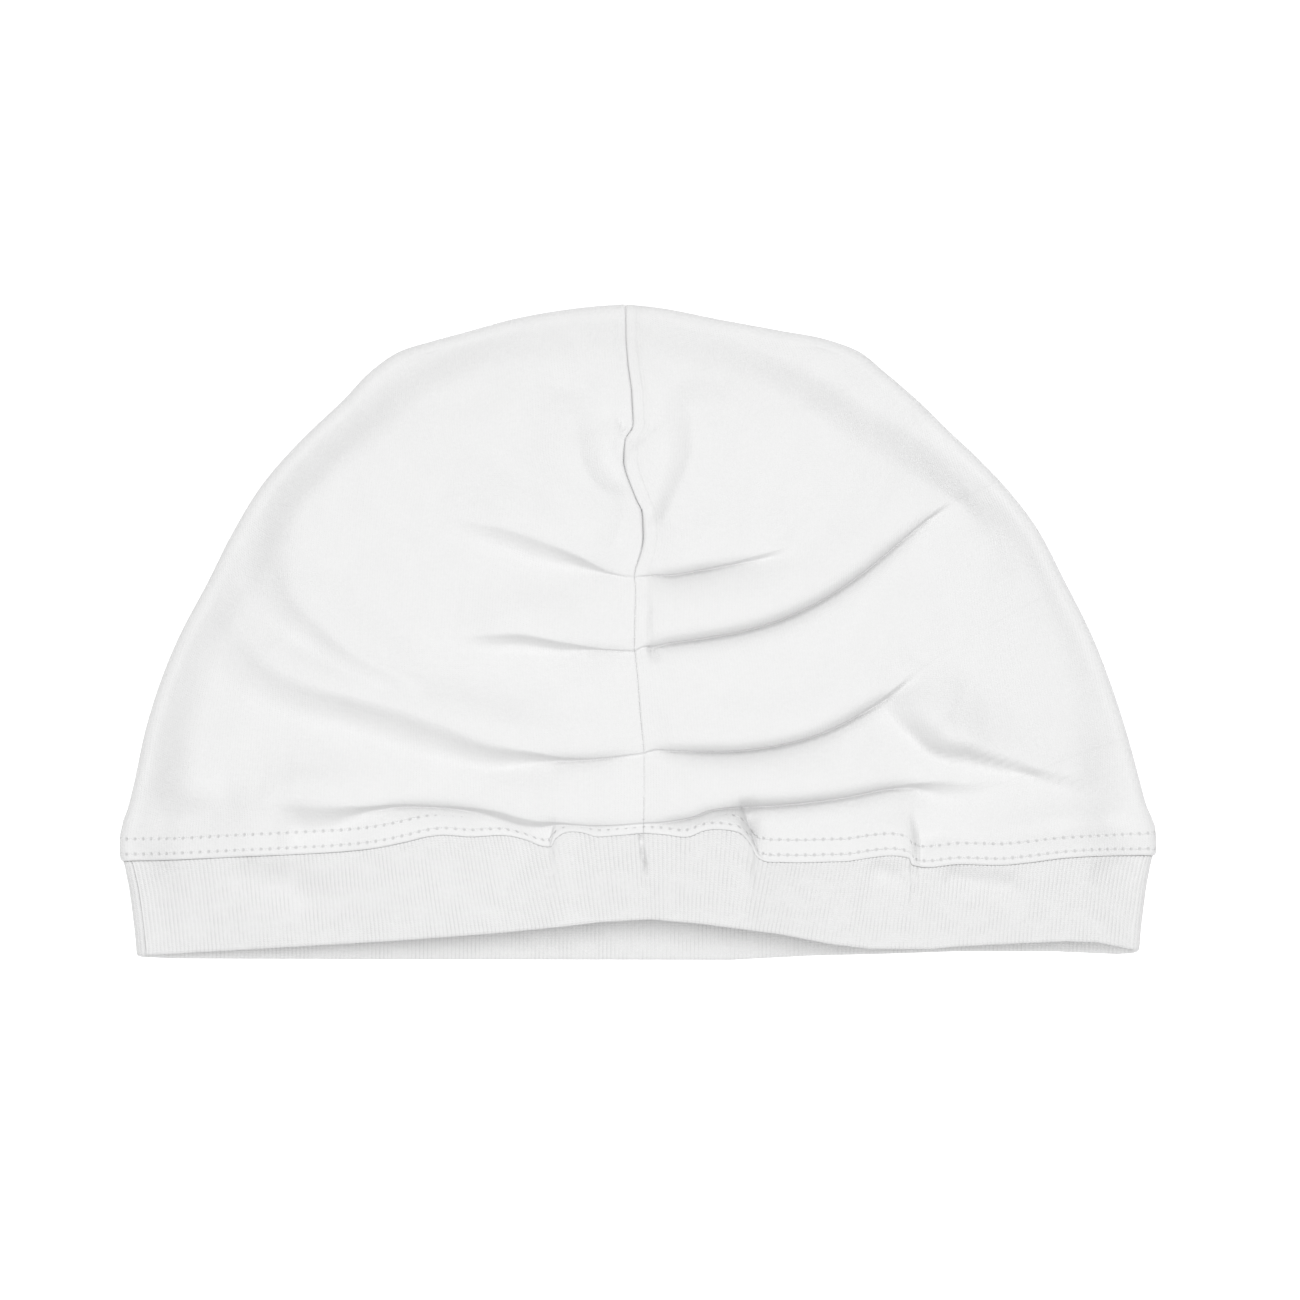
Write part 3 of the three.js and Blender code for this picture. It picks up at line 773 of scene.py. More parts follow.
@dataclass
class CrownHalf:
    """One jersey half: its gathered front, its flattened edge and its flat back.

    Attributes:
        side: the side of the cap.
        front: the surface that the front lies on.
        cell: the size of a cell of the front.
        arc_cells: cells round the flattened edge.
        thin: one in so many of the outline's vertices goes on across the back.
        seam_side: once built, the front's vertices beside the seam, row by row.
        strip: once built, the vertices along the hem and round the flattened edge.
    """

    side: Side
    front: Front
    cell: float = 0.9
    arc_cells: int = 8
    thin: int = 5
    seam_side: Array = field(init=False)
    strip: Array = field(init=False)

    # Places across a pleat's line where a row of cloth runs, going up.
    ACROSS = (
        1.5, 1.15, 0.88, 0.68, 0.52, 0.38, 0.25, 0.12, 0.0, -0.13, -0.28, -0.45, -0.65, -0.9,
        -1.25, -1.7,
    )
    # Places above the hem's edge, and beside the seam, where the cloth rolls in.
    HEM_ROLL = (0.0, 0.05, 0.12, 0.23, 0.38, 0.58, 0.85)
    SEAM_ROLL = (0.0, 0.05, 0.12, 0.22, 0.36, 0.55, 0.8)
    # Where columns crowd: share of the row, width and gain.
    CROWDED = {
        Side.LEFT: ((0.17, 0.025, 3.0),),
        Side.RIGHT: ((0.2, 0.025, 4.0), (0.525, 0.014, 4.0)),
    }
    FINE = 2001  # samples of a row from which its columns are spaced
    BREADTH = 118.0  # about how long a row is
    ROOM = 5.0  # rows draw together where the next pleat is nearer than this
    TIGHTEST = 0.05  # to no less than this share
    TOP_STEPS = 50  # samples of a half's top row
    PULLED_IN = 0.3  # the share of a row over which its start is brought onto the seam
    PULLED_OUT = 0.15  # the same for its end and the outline
    LEAST_DRAWN = 0.1  # how far the seam is drawn in between stitches, as a share
    STITCH_DRAWN = 0.45  # half of what a stitch adds
    GATHER_DROP = 0.45  # how much lower the cloth lies along the gathered part of the seam
    GATHER_WIDTH = 4.0
    GATHERED = (20.0, 10.0)  # the y below which it does, and the length over which that eases in
    EVENING = 7.0  # how far the knit's lines are evened out
    LEVELS = (100.0, 300.0)  # added to the cloth map's height, in the front and in the back
    HEM_DROP = 0.5  # how far the front hem's edge rolls down
    BACK_DROP = 0.5  # and how far the back rolls up at its hem and its seam
    SEAM_GAP = 0.015  # how far each half's edge stays off the seam

    def columns(self) -> Array:
        """Shares of a row at which its columns lie, past those of the seam's roll."""
        share = np.linspace(0, 1, self.FINE)
        density = np.ones_like(share)
        for centre, width, gain in self.CROWDED[self.side]:
            density += gain * bell(share - centre, width)
        total = np.r_[0, np.cumsum((density[1:] + density[:-1]) / 2)]
        count = int(round(np.mean(density) * self.BREADTH / self.cell))
        return np.interp(np.linspace(0, total[-1], count), total, share)

    def guide(self, line: Line) -> tuple[Array, Array]:
        """Samples a line at the columns.

        Args:
            line: a line from the seam to the outline.

        Returns:
            The points, and the normals on its lower side.
        """
        near = np.array(self.SEAM_ROLL)
        at = np.r_[near, near[-1] + (line.length - near[-1]) * self.columns()[1:]]
        down = line.sample(at, line.right() * self.side.value)
        return line.sample(at), unit(down)

    def rows_in_plan(self) -> tuple[Array, int]:
        """Lays the rows of the front in plan, from the hem up.

        Returns:
            The rows, and how many lie below the hem pleat.
        """
        outline = self.front.outlines[self.side]
        pleats = [Line([row[:2] for row in pleat.rows]) for pleat in PLEATS[self.side]]
        lines = (self.front.hems[self.side], *pleats, Line(PLAIN[self.side]))
        guides = [self.guide(line) for line in lines]
        top = outline.line.length * np.linspace(1, TOP_CORNER, self.TOP_STEPS)
        guides.append(self.guide(Line(outline.line.sample(top, outline.inset))))
        bands: list[list[Array]] = []
        for number, (points, down) in enumerate(guides):
            beside = [
                np.linalg.norm(guides[other][0] - points, axis=1)
                for other in (number - 1, number + 1)
                if 0 <= other < len(guides)
            ]
            room = np.clip(np.min(beside, axis=0) / self.ROOM, self.TIGHTEST, 1)[:, None]
            if number == 0:
                bands.append([points - down * step * room for step in self.HEM_ROLL])
            elif number <= len(pleats):
                bands.append([points + down * step * room for step in self.ACROSS])
            else:
                bands.append([points])
        rows = list(bands[0])
        starts = []
        for below, above in zip(bands, bands[1:]):
            gap = np.linalg.norm(above[0] - below[-1], axis=1).mean()
            count = max(int(gap / self.cell), 2)
            rows += [below[-1] + (above[0] - below[-1]) * k / count for k in range(1, count)]
            starts.append(len(rows))
            rows += above
        return self.pinned(np.array(rows)), starts[0]

    def pinned(self, rows: Array) -> Array:
        """Brings the rows' ends onto the seam and the outline.

        Args:
            rows: the rows in plan.

        Returns:
            The rows with both ends in place.
        """
        outline = self.front.outlines[self.side]
        share = np.linspace(0, 1, rows.shape[1])[None, :, None]
        ends = rows[:-1, -1]
        near = np.maximum.accumulate(nearest(ends, outline.inset)[0])
        target = outline.line.sample(self.unrepeated(outline.line.along[near]), outline.inset)
        out = smoothstep((share - (1 - self.PULLED_OUT)) / self.PULLED_OUT)
        rows[:-1] += (target - ends)[:, None] * out
        start = rows[:, 0].copy()
        seam = np.column_stack([read(SEAM, start[:, 1]), start[:, 1]])
        seam[:, 0] += self.side.value * self.SEAM_GAP
        rows += (seam - start)[:, None] * (1 - smoothstep(share / self.PULLED_IN))
        return rows

    @staticmethod
    def unrepeated(values: Array) -> Array:
        """Spreads values that came out equal, so that each is past the one before."""
        order = np.arange(len(values), dtype=float)
        keep = np.r_[True, np.diff(values) > TINY]
        keep[-1] = True
        return np.interp(order, order[keep], values[keep])

    def front_grid(self) -> tuple[Array, Array, int]:
        """Raises the front and rolls it in at the seam and at the hem's edge.

        Returns:
            The outer vertices row by row from the hem up, how far each is drawn in, and how
            many rows lie below the hem pleat.
        """
        rows, below_pleat = self.rows_in_plan()
        space = self.front.raised(rows.reshape(-1, 2)).reshape(*rows.shape[:2], 3)
        space[:, -1, :2] = rows[:, -1]
        space[-1, :, :2] = rows[-1]
        y = rows[:, :1, 1]
        away = np.linalg.norm(rows - rows[:, :1], axis=2)
        turn = 2 * np.pi * (y - STITCHED[0]) / SEAM_STITCH
        drawn = self.STITCH_DRAWN * (1 - np.cos(turn)) + self.LEAST_DRAWN
        drawn[(y > STITCHED[1]) | (y < STITCHED[0])] = 1
        sunk = read(GROOVE, y) * drawn * rolled(away, self.SEAM_ROLL[-1])
        up = np.linalg.norm(rows - rows[:1], axis=2)
        hem = self.HEM_DROP * read(HEM_DEPTH, rows[0, :, 0])
        sunk += hem * rolled(up, self.HEM_ROLL[-1])
        top, ease = self.GATHERED
        gathered = self.GATHER_DROP * smoothstep((top - y) / ease)
        space[..., 2] -= sunk + gathered * bell(away, self.GATHER_WIDTH)
        return space, sunk, below_pleat

    def build(self) -> Any:
        """Builds the half's mesh.

        Returns:
            The object, a closed wall of jersey.
        """
        grid, sunk, below_pleat = self.front_grid()
        front = grid.reshape(-1, 3)
        numbers = np.arange(len(front)).reshape(grid.shape[:2])
        border = np.r_[numbers[:, -1], numbers[-1, -2::-1]]
        parts, arcs, out = self.edge(front[border], sunk.ravel()[border])
        around = len(front) + np.arange(len(arcs) * len(border)).reshape(len(arcs), -1)
        points = np.vstack([front, *parts])
        added, back_faces = self.back(points, around[-1], len(grid))
        points = np.vstack([points, added])
        self.seam_side = grid[:, : len(self.SEAM_ROLL)]
        self.strip = np.concatenate(
            [grid[:below_pleat], *(part[:below_pleat, None] for part in parts)], axis=1
        )
        cloth, hem = self.front_maps(grid, below_pleat)
        cloth = np.vstack([cloth, *(cloth[border] + arc * np.abs(out) for arc in arcs)])
        hem = np.vstack([hem, *(hem[border] + np.array([arc, 0]) for arc in arcs)])
        x, y = points[:, 0], points[:, 1]
        edge_end = hem[around[-1, 0], 0] + abs(x[around[-1, 0]])
        back_cloth = np.column_stack([np.abs(x), y + self.LEVELS[1]])
        back_hem = np.column_stack([edge_end - np.abs(x), y - read(BACK_HEM, x)])
        faces = grid_faces(numbers) + grid_faces(np.vstack([border, around]), flip=True)
        corners = [sum(map(len, part)) for part in (faces, back_faces)]
        on_back = np.repeat([False, True], corners)[:, None]
        faces += back_faces
        if self.side is Side.LEFT:
            faces = [face[::-1] for face in faces]
        corner = np.concatenate(faces)
        maps = {
            key: np.where(on_back, back[corner], np.vstack([ahead, back[len(ahead):]])[corner])
            for key, ahead, back in (("cloth", cloth, back_cloth), ("hem", hem, back_hem))
        }
        obj = new_mesh(f"jersey_{self.side.name.lower()}", points, faces, **maps)
        apply_modifier(obj, "SOLIDIFY", thickness=JERSEY_THICKNESS * MM, offset=-1)
        return obj

    def front_maps(self, grid: Array, below_pleat: int) -> tuple[Array, Array]:
        """Lays out the front's two maps.

        Args:
            grid: the front's vertices.
            below_pleat: how many rows lie below the hem pleat.

        Returns:
            For each vertex its place in the cloth, and its lengths along and above the hem.
        """
        rows, columns = grid.shape[:2]
        across, up = lengths(grid, 1), lengths(grid, 0)
        level = self.evened(up - up[below_pleat], across[rows // 2]) + self.LEVELS[0]
        along = self.evened(across.T, level[:, columns // 2]).T
        hem = np.stack([np.broadcast_to(across[:1], across.shape), up], axis=-1)
        hem[below_pleat:, :, 1] += UNSTITCHED
        return np.stack([along, level], axis=-1).reshape(-1, 2), hem.reshape(-1, 2)

    def edge(self, start: Array, drawn: Array) -> tuple[list[Array], list[float], Array]:
        """Turns the cloth round the flattened edge, line by line.

        Args:
            start: the front's outermost vertices, from the hem to the apex.
            drawn: how far each is drawn in.

        Returns:
            The vertices of each further line, its length round the edge, and the way out.
        """
        outline = self.front.outlines[self.side]
        out = outline.out[nearest(start[:, :2], outline.inset)[0]]
        low = np.minimum(drawn, self.BACK_DROP)
        reach = EDGE_RADIUS - low[:, None]
        lines, arcs = [], []
        for step in range(1, self.arc_cells + 1):
            angle = math.pi / 2 - math.pi * step / self.arc_cells
            plan = start[:, :2] + out * reach * math.cos(angle)
            height = low + (start[:, 2] - low) / 2 * (1 + math.sin(angle))
            lines.append(np.column_stack([plan, height]))
            arcs.append(EDGE_RADIUS * math.pi * step / self.arc_cells)
        return lines, arcs, out

    @classmethod
    def evened(cls, level: Array, place: Array) -> Array:
        """Evens the map between neighbouring columns, so that the knit runs on smoothly.

        Args:
            level: a length for each vertex.
            place: where each column lies.

        Returns:
            The evened lengths.
        """
        near = bell(place[:, None] - place[None], cls.EVENING) * np.gradient(place)
        return level @ (near / near.sum(axis=1, keepdims=True)).T

    def back(self, points: Array, line: Array, rows: int) -> tuple[Array, list[list[int]]]:
        """Closes the half with its back, a coarser patch whose rim takes every vertex.

        Args:
            points: the vertices so far.
            line: the flattened edge's last line, from the hem to the apex.
            rows: how many of the line's vertices lie on the side.

        Returns:
            The added vertices, and the faces.
        """
        rolls = len(self.HEM_ROLL)
        last = len(line) - rolls
        side = [*range(rolls), *range(rolls + 2, rows - 2, self.thin), rows - 1]
        top = [*range(rows - 1, last - 2, self.thin), *range(last, len(line))]
        grid = self.patch(points[line[side]], points[line[top]])
        number = np.full(grid.shape[:2], -1)
        number[:, 0] = line[side]
        number[-1] = line[top]
        shape = number[:-1, 1:].shape
        number[:-1, 1:] = len(points) + np.arange(math.prod(shape)).reshape(shape)
        faces = []
        for i in range(len(side) - 1):
            for j in range(len(top) - 1):
                ring = [number[i, j]]
                if j == 0:
                    ring += line[side[i] + 1 : side[i + 1]].tolist()
                ring.append(number[i + 1, j])
                if i == len(side) - 2:
                    ring += line[top[j] + 1 : top[j + 1]].tolist()
                ring += [number[i + 1, j + 1], number[i, j + 1]]
                faces.append(ring[::-1])
        return grid[:-1, 1:].reshape(-1, 3), faces

    def patch(self, side: Array, top: Array) -> Array:
        """Lays a smooth patch between the side, the top, the back hem and the back seam.

        Args:
            side: the vertices up the side.
            top: the vertices from its upper end to the apex.

        Returns:
            The patch's vertices, row by row from the hem up.
        """
        foot = np.array([self.side.value * self.SEAM_GAP, BACK_FOOT, side[0][2]])
        t = lengths(side, 0)[:, None, None]
        s = lengths(top, 0)[None, :, None]
        t, s = t / t.max(), s / s.max()
        hem, seam = mix(side[0], foot, s), mix(foot, top[-1], t)
        grid = mix(side[:, None], seam, s) + hem * (1 - t) + top[None] * t
        grid -= side[0] * (1 - s) * (1 - t) + foot * s * (1 - t)
        grid -= top[0] * (1 - s) * t + top[-1] * s * t
        seam_side = np.abs(grid[..., 0] - grid[:, -1:, 0])
        grid[..., 2] = self.BACK_DROP * np.maximum(
            rolled(grid[..., 1] - grid[:1, :, 1], self.HEM_ROLL[-1]),
            rolled(seam_side, self.SEAM_ROLL[-1]),
        )
        return grid


@dataclass
class Band:
    """The rib band: one strip of rib folded double at the rim, round the mouth.

    Attributes:
        front: the surface that the front lies on.
        layer: the thickness of one layer of rib.
        slit: the space between the two layers.
        rib: how far a rib stands out.
    """

    front: Front
    layer: float = 0.75
    slit: float = 0.15
    rib: float = 0.08

    RIM_HALF = 125.7  # half the rim's width
    FLAT = RIM_HALF - EDGE_RADIUS  # half the length of the rim's flat part
    HEM_HALF = 129.0  # half the hem's width
    CLEAR = 0.7  # how far the band's side stays inside the crown's
    TUCKED = 0.05  # how far the band stops below the hem
    PINCHED = 0.3  # how much thinner its flattened sides are at the hem
    SIDE_RIB = 0.7  # how much of a rib is pressed flat there
    HEM_STEP = 0.4  # the band lies this much below the crown's hem
    RIM_RISE = 4.2  # how much higher the rim stands in the middle than at the sides
    GAPE = 3.0  # how much further the rim stands up on the right
    GAPE_AT = 80.0  # how far to the right it reaches its full rise
    EVENING = 4.0  # how far the steps of the hem are evened out in the band
    WALES = 4  # columns to a rib
    OUTER_ROWS = 16
    CLOSER = 1.4  # draws the outer rows closer together towards the hem
    INNER_ROWS = 8
    FOLD_ROWS = 5
    SLIT_END = 0.93  # how far down the space between the layers goes
    # How near the side each effect dies out: the power of how far out a station lies.
    LEAN_OUT, DENTS_OUT, STEPS_OUT, HEM_OUT, GAPE_OUT = 8, 12, 24, 60, 16
    HEM_SHOWS = 6  # how soon the hem's steps are lost on the way down, as a power
    PINCH_SHOWS = 4  # and the sides' pinch
    # The front rim and the back rim in plan.
    FRONT_RIM: Table = (
        (-126, -81.2), (-110, -80.2), (-84.5, -78.7), (-59.5, -77.2), (-34.5, -75.3),
        (-19.5, -73.8), (-9.5, -72.6), (3, -71.9), (15.5, -73), (35.5, -75.6), (48, -78),
        (58, -79.2), (73, -79.3), (79, -78.7), (90, -78.1), (107, -77.4), (115, -77.7),
        (121, -78.9), (126, -80.3),
    )
    BACK_RIM: Table = (
        (-126, -81.4), (-117, -81.9), (-60, -82.1), (23, RIM_Y), (43, -81.2), (63, -80.7),
        (80, -80.1), (104, -80.1), (120, -80.8), (126, -80.5),
    )
    # How far a rib leans on its way up, in the front: place on the rim, and shift at the hem.
    LEAN: Table = (
        (-130, -2.2), (-100, -1.6), (-70, -1.8), (-45, -3.6), (-25, -5), (-8, -2.4), (3, -0.9),
        (12, 0.6), (30, 3.2), (50, 3.6), (70, 2.2), (95, 1.6), (130, 2.2),
    )
    # How much narrower than the hem the band's side is, by share of the way down.
    TAPER: Table = ((0, 0), (0.08, 0.15), (0.31, 0.48), (0.55, 0.7), (0.78, 0.88), (1, 1))

    def stations(self) -> tuple[Array, Array, Array]:
        """Lays the ring's stations along the rim.

        Returns:
            For each station its x on the rim, its outward normal in X and Z, and its place
            round the ring, in ribs.
        """
        arc = math.pi * EDGE_RADIUS
        whole = 4 * self.FLAT + 2 * arc
        ribs = round(whole / RIB_PITCH)
        wale = np.arange(ribs * self.WALES) / self.WALES
        legs = np.cumsum([0, 2 * self.FLAT, arc, 2 * self.FLAT, arc])
        at = wale * whole / ribs
        x = np.interp(at, legs, [-self.FLAT, self.FLAT, self.FLAT, -self.FLAT, -self.FLAT])
        angle = np.radians(np.interp(at, legs, [90, 90, -90, -90, -270]))
        return x, np.column_stack([np.cos(angle), np.sin(angle)]), wale

    def build(self) -> Any:
        """Builds the band.

        Returns:
            The object, a closed folded strip.
        """
        x, out, wale = self.stations()
        total = 2 * self.layer + self.slit
        outer = np.linspace(0, 1, self.OUTER_ROWS) ** self.CLOSER
        slit = np.linspace(0, self.SLIT_END, self.INNER_ROWS)
        # Each ring's share of the way down, depth, ribs and bulge, round the strip's section.
        rings = [(share, 0.0, 1.0) for share in outer]
        for step in range(1, self.FOLD_ROWS + 1):
            turn = math.pi * step / (self.FOLD_ROWS + 1)
            depth = total / 2 * (1 - math.cos(turn))
            rings.append((1, depth, math.cos(turn), total / 2 * math.sin(turn)))
        rings += [(share, total, -1.0) for share in np.linspace(1, 0, self.INNER_ROWS)]
        rings += [(share, total - self.layer, 0.0) for share in slit]
        rings.append((1, total / 2, 0.0))
        rings += [(share, self.layer, 0.0) for share in slit[::-1]]
        return self.mesh(np.array([self.ring(x, out, wale, *ring) for ring in rings]), wale)

    def ring(
        self, x: Array, out: Array, wale: Array, share: float, depth: float, ribbed: float,
        bulge: float = 0.0,
    ) -> Array:
        """Lays one ring of vertices.

        Args:
            x: each station's x on the rim.
            out: its outward normal, in X and Z.
            wale: its place round the ring, in ribs.
            share: how far down the ring lies, from 0 at the hem to 1 at the rim.
            depth: how deep it lies in the band's thickness.
            ribbed: how much the ribs show, negative on the inside.
            bulge: how far the rim's fold reaches past the rim.

        Returns:
            A vertex for each station.
        """
        up = 1 - share
        front = out[:, 1] > 1 - TINY
        at_side = np.abs(out[:, 0]) > TINY
        inner = np.abs(x) / self.FLAT
        wide = HALF_WIDTH - self.CLEAR - self.RIM_HALF
        wide = wide * (1 - read(self.TAPER, np.array(share)))
        side = inner**self.LEAN_OUT
        lean = read(self.LEAN, x) * front * up * (1 - side)
        middle = x + lean + np.sign(x) * wide * side
        turned = (1 - out[:, 1]) / 2
        past = self.layer + self.slit / 2
        rim_y = mix(read(self.FRONT_RIM, x), read(self.BACK_RIM, x), turned) + past
        back_y = read(BACK_HEM, x)
        hem_y = np.where(front, self.front.hem_y(middle), back_y)
        at_end = mix(self.front.hem_y(np.sign(x) * self.HEM_HALF), back_y, turned)
        hem_y = np.where(at_side, at_end, hem_y) - self.TUCKED
        y = mix(hem_y, rim_y, share) - bulge
        hem = self.front.raised(np.column_stack([middle, hem_y])[front])
        z = np.full(len(x), EDGE_RADIUS)
        z[front] = self.front_height(x[front], hem, y[front], share) - EDGE_RADIUS
        tuck = self.PINCHED * up**self.PINCH_SHOWS * at_side
        ribbed = self.rib * ribbed * (1 - self.SIDE_RIB * np.abs(out[:, 0]))
        reach = EDGE_RADIUS - depth - tuck + ribbed * np.cos(2 * np.pi * wale)
        return np.column_stack([middle + out[:, 0] * reach, y, z + out[:, 1] * reach])

    def front_height(self, x: Array, hem: Array, y: Array, share: float) -> Array:
        """Works out how high a ring lies in the front.

        Args:
            x: each station's x on the rim.
            hem: the place of the crown's surface above it, at the hem.
            y: the station's own y.
            share: how far down the ring lies, from 0 at the hem to 1 at the rim.

        Returns:
            The heights.
        """
        middle, up = hem[:, 0], 1 - share
        inner = np.abs(x) / self.FLAT
        inside = 1 - inner**self.DENTS_OUT
        step = self.HEM_STEP * read(HEM_DEPTH, middle) * inside
        hem_z = np.maximum(hem[:, 2] - EDGE_TOP, 0) * (1 - inner**self.HEM_OUT) - step
        near = bell(middle[:, None] - middle, self.EVENING)
        even = near @ hem_z / near.sum(1) * (1 - inner**self.STEPS_OUT)
        hem_z = even + (hem_z - even) * up**self.HEM_SHOWS + EDGE_TOP
        rim_z = EDGE_TOP + self.RIM_RISE * (1 - inner**2)
        rim_z += self.GAPE * (smoothstep(x / self.GAPE_AT) * (1 - inner**self.GAPE_OUT))
        height = mix(hem_z, rim_z, share)
        for swell in BAND_SWELLS:
            height += swell.relief(np.column_stack([middle, y])) * inside
        return height

    @staticmethod
    def mesh(loops: Array, wale: Array) -> Any:
        """Joins rings of vertices into the band.

        Args:
            loops: the rings, in order round the strip's section.
            wale: each station's place round the ring, in ribs.

        Returns:
            The object.
        """
        rings, count = loops.shape[:2]
        numbers = np.arange(rings * count).reshape(rings, count)
        faces = grid_faces(np.pad(numbers, (0, 1), mode="wrap"), flip=True)
        down = lengths(loops[:, :1], 0)
        uv = np.column_stack([np.tile(wale, rings), np.repeat(down, count)])
        return new_mesh("rib_band", loops.reshape(-1, 3), faces, cloth=uv)


ASKEW = (0.13, 0.21, 0.97)  # a direction that no thread runs in
BLUNT = 0.3  # how a thread's ends narrow, from 0 for cut square to 1 for drawn out


def tubes(name: str, paths: Array, radius: float, sides: int = 6) -> Any:
    """Makes many short threads as one mesh.

    Args:
        name: the object's name.
        paths: the points of each thread in turn.
        radius: the thread's radius.
        sides: faces round a thread.

    Returns:
        The object.
    """
    count, steps = paths.shape[:2]
    along = unit(np.gradient(paths, axis=1))
    first = unit(np.cross(along, np.array(ASKEW)))
    second = np.cross(along, first)
    turn = np.arange(sides) * 2 * np.pi / sides
    around = first[:, :, None] * np.cos(turn)[:, None] + second[:, :, None] * np.sin(turn)[:, None]
    thick = radius * np.sin(np.pi * (np.arange(steps) + 0.5) / steps) ** BLUNT
    points = paths[:, :, None] + around * thick[:, None, None]
    numbers = np.arange(count * steps * sides).reshape(count, steps, sides)
    faces = []
    for thread in numbers:
        faces += grid_faces(np.pad(thread, ((0, 0), (0, 1)), mode="wrap"))
        faces += [thread[0, ::-1].tolist(), thread[-1].tolist()]
    down = np.broadcast_to(lengths(paths, 1)[:, :, None], points.shape[:3])
    round_it = np.broadcast_to(turn * radius, points.shape[:3])
    uv = np.stack([round_it, down], axis=-1).reshape(-1, 2)
    return new_mesh(name, points.reshape(-1, 3), faces, cloth=uv)


@dataclass
class Coverstitch:
    """Two rows of stitches that hold the crown's hem to the band, all round.

    Attributes:
        radius: the thread's radius.
        share: the share of a stitch's length that shows.
    """

    radius: float = 0.28
    share: float = 0.72

    STEPS = 6  # points along a stitch
    BACK_STEPS = 70  # columns across the back's hem
    BOWED = (0.11, 0.7)  # how far a stitch's middle stands up, and how flat-topped it is
    SUNK = 0.27  # how far it sinks into the cloth
    LIFTED = 0.6  # how high over the floor it stays, in radii
    # Places beside and above one on the cloth, from which its normal is found.
    BESIDE = ((0.0, 0.0), (0.1, 0.0), (0.0, 0.15))
    MARGIN = 0.3  # how much cloth must go on above a stitch

    def build(self, halves: Sequence[CrownHalf]) -> Any:
        """Builds the stitches.

        Args:
            halves: the two crown halves, already built.

        Returns:
            The object.
        """
        paths = [path for half in halves for path in self.on_half(half)]
        return tubes("coverstitch", np.array(paths), self.radius)

    def on_half(self, half: CrownHalf) -> list[Array]:
        """Lays the stitches of one half.

        Args:
            half: the crown half.

        Returns:
            The points of each stitch.
        """
        end = half.strip[:, -1]
        steps = np.linspace(0, 1, self.BACK_STEPS)[1:, None, None]
        seam = np.array([half.side.value * half.SEAM_GAP, BACK_FOOT - end[0, 1], 0])
        back = mix(end, end * np.array([0, 1, 1]) + seam, steps)
        strip = np.concatenate([half.strip, np.moveaxis(back, 0, 1)], axis=1)
        along = lengths(strip[:1], 1)[0]
        up = lengths(strip, 0)
        bow = np.sin(np.pi * (np.arange(self.STEPS) + 0.5) / self.STEPS)
        bow = (self.BOWED[0] * bow ** self.BOWED[1] - self.SUNK)[:, None]
        paths = []
        for height in ROW_HEIGHTS:
            for stitch in range(int(along[-1] / STITCH)):
                u = (stitch + 0.5 + self.share * np.linspace(-0.5, 0.5, self.STEPS)) * STITCH
                spots = [
                    self.place(strip, along, up, u + ahead, height + above)
                    for ahead, above in self.BESIDE
                ]
                if any(spot is None for spot in spots):
                    continue
                place, ahead, above = spots
                normal = unit(np.cross(ahead - place, above - place) * half.side.value)
                path = place + normal * bow
                path[:, 2] = np.maximum(path[:, 2], self.radius * self.LIFTED)
                paths.append(path)
        return paths

    @classmethod
    def place(
        cls, strip: Array, along: Array, up: Array, u: Array, height: float
    ) -> Array | None:
        """Finds places on the hem's strip of cloth.

        Args:
            strip: the strip's vertices, row by row.
            along: each column's length along the hem.
            up: each vertex's length above the hem.
            u: lengths along the hem.
            height: the length above the hem.

        Returns:
            The places, or None where the strip ends under the pleat.
        """
        if u[-1] >= along[-1]:
            return None
        cell = np.clip(np.searchsorted(along, u, side="right") - 1, 0, len(along) - 2)
        t = ((u - along[cell]) / (along[cell + 1] - along[cell]))[:, None]
        found = []
        for column in (cell, cell + 1):
            if (up[-1, column] < height + cls.MARGIN).any():
                return None
            found.append(np.array([
                [np.interp(height, up[:, c], strip[:, c, axis]) for axis in range(3)]
                for c in column
            ]))
        return mix(*found, t)


@dataclass
class SeamStitches:
    """The stitches that draw the gathered seam together, seen between the pleats.

    Attributes:
        radius: the thread's radius.
    """

    radius: float = 0.15

    STEPS = 5  # points along a stitch
    COLUMN = 4  # the column of each half, counted from the seam, that a stitch ends at
    SLANT = 0.25  # how far its ends lie above and below its middle
    SUNK = 0.12  # how far it sinks into the cloth

    def build(self, halves: Sequence[CrownHalf]) -> Any:
        """Builds the stitches.

        Args:
            halves: the two crown halves, already built.

        Returns:
            The object.
        """
        steps = np.linspace(0, 1, self.STEPS)[:, None]
        paths = []
        for y in np.arange(*STITCHED, SEAM_STITCH):
            ends = []
            for half, slant in zip(halves, (-self.SLANT, self.SLANT)):
                side = half.seam_side[:, self.COLUMN]
                side = side[np.argsort(side[:, 1])]
                end = np.array([np.interp(y, side[:, 1], side[:, k]) for k in range(3)])
                ends.append(end + np.array([0, slant, -self.SUNK]))
            paths.append(mix(*ends, steps))
        return tubes("seam_stitches", np.array(paths), self.radius)


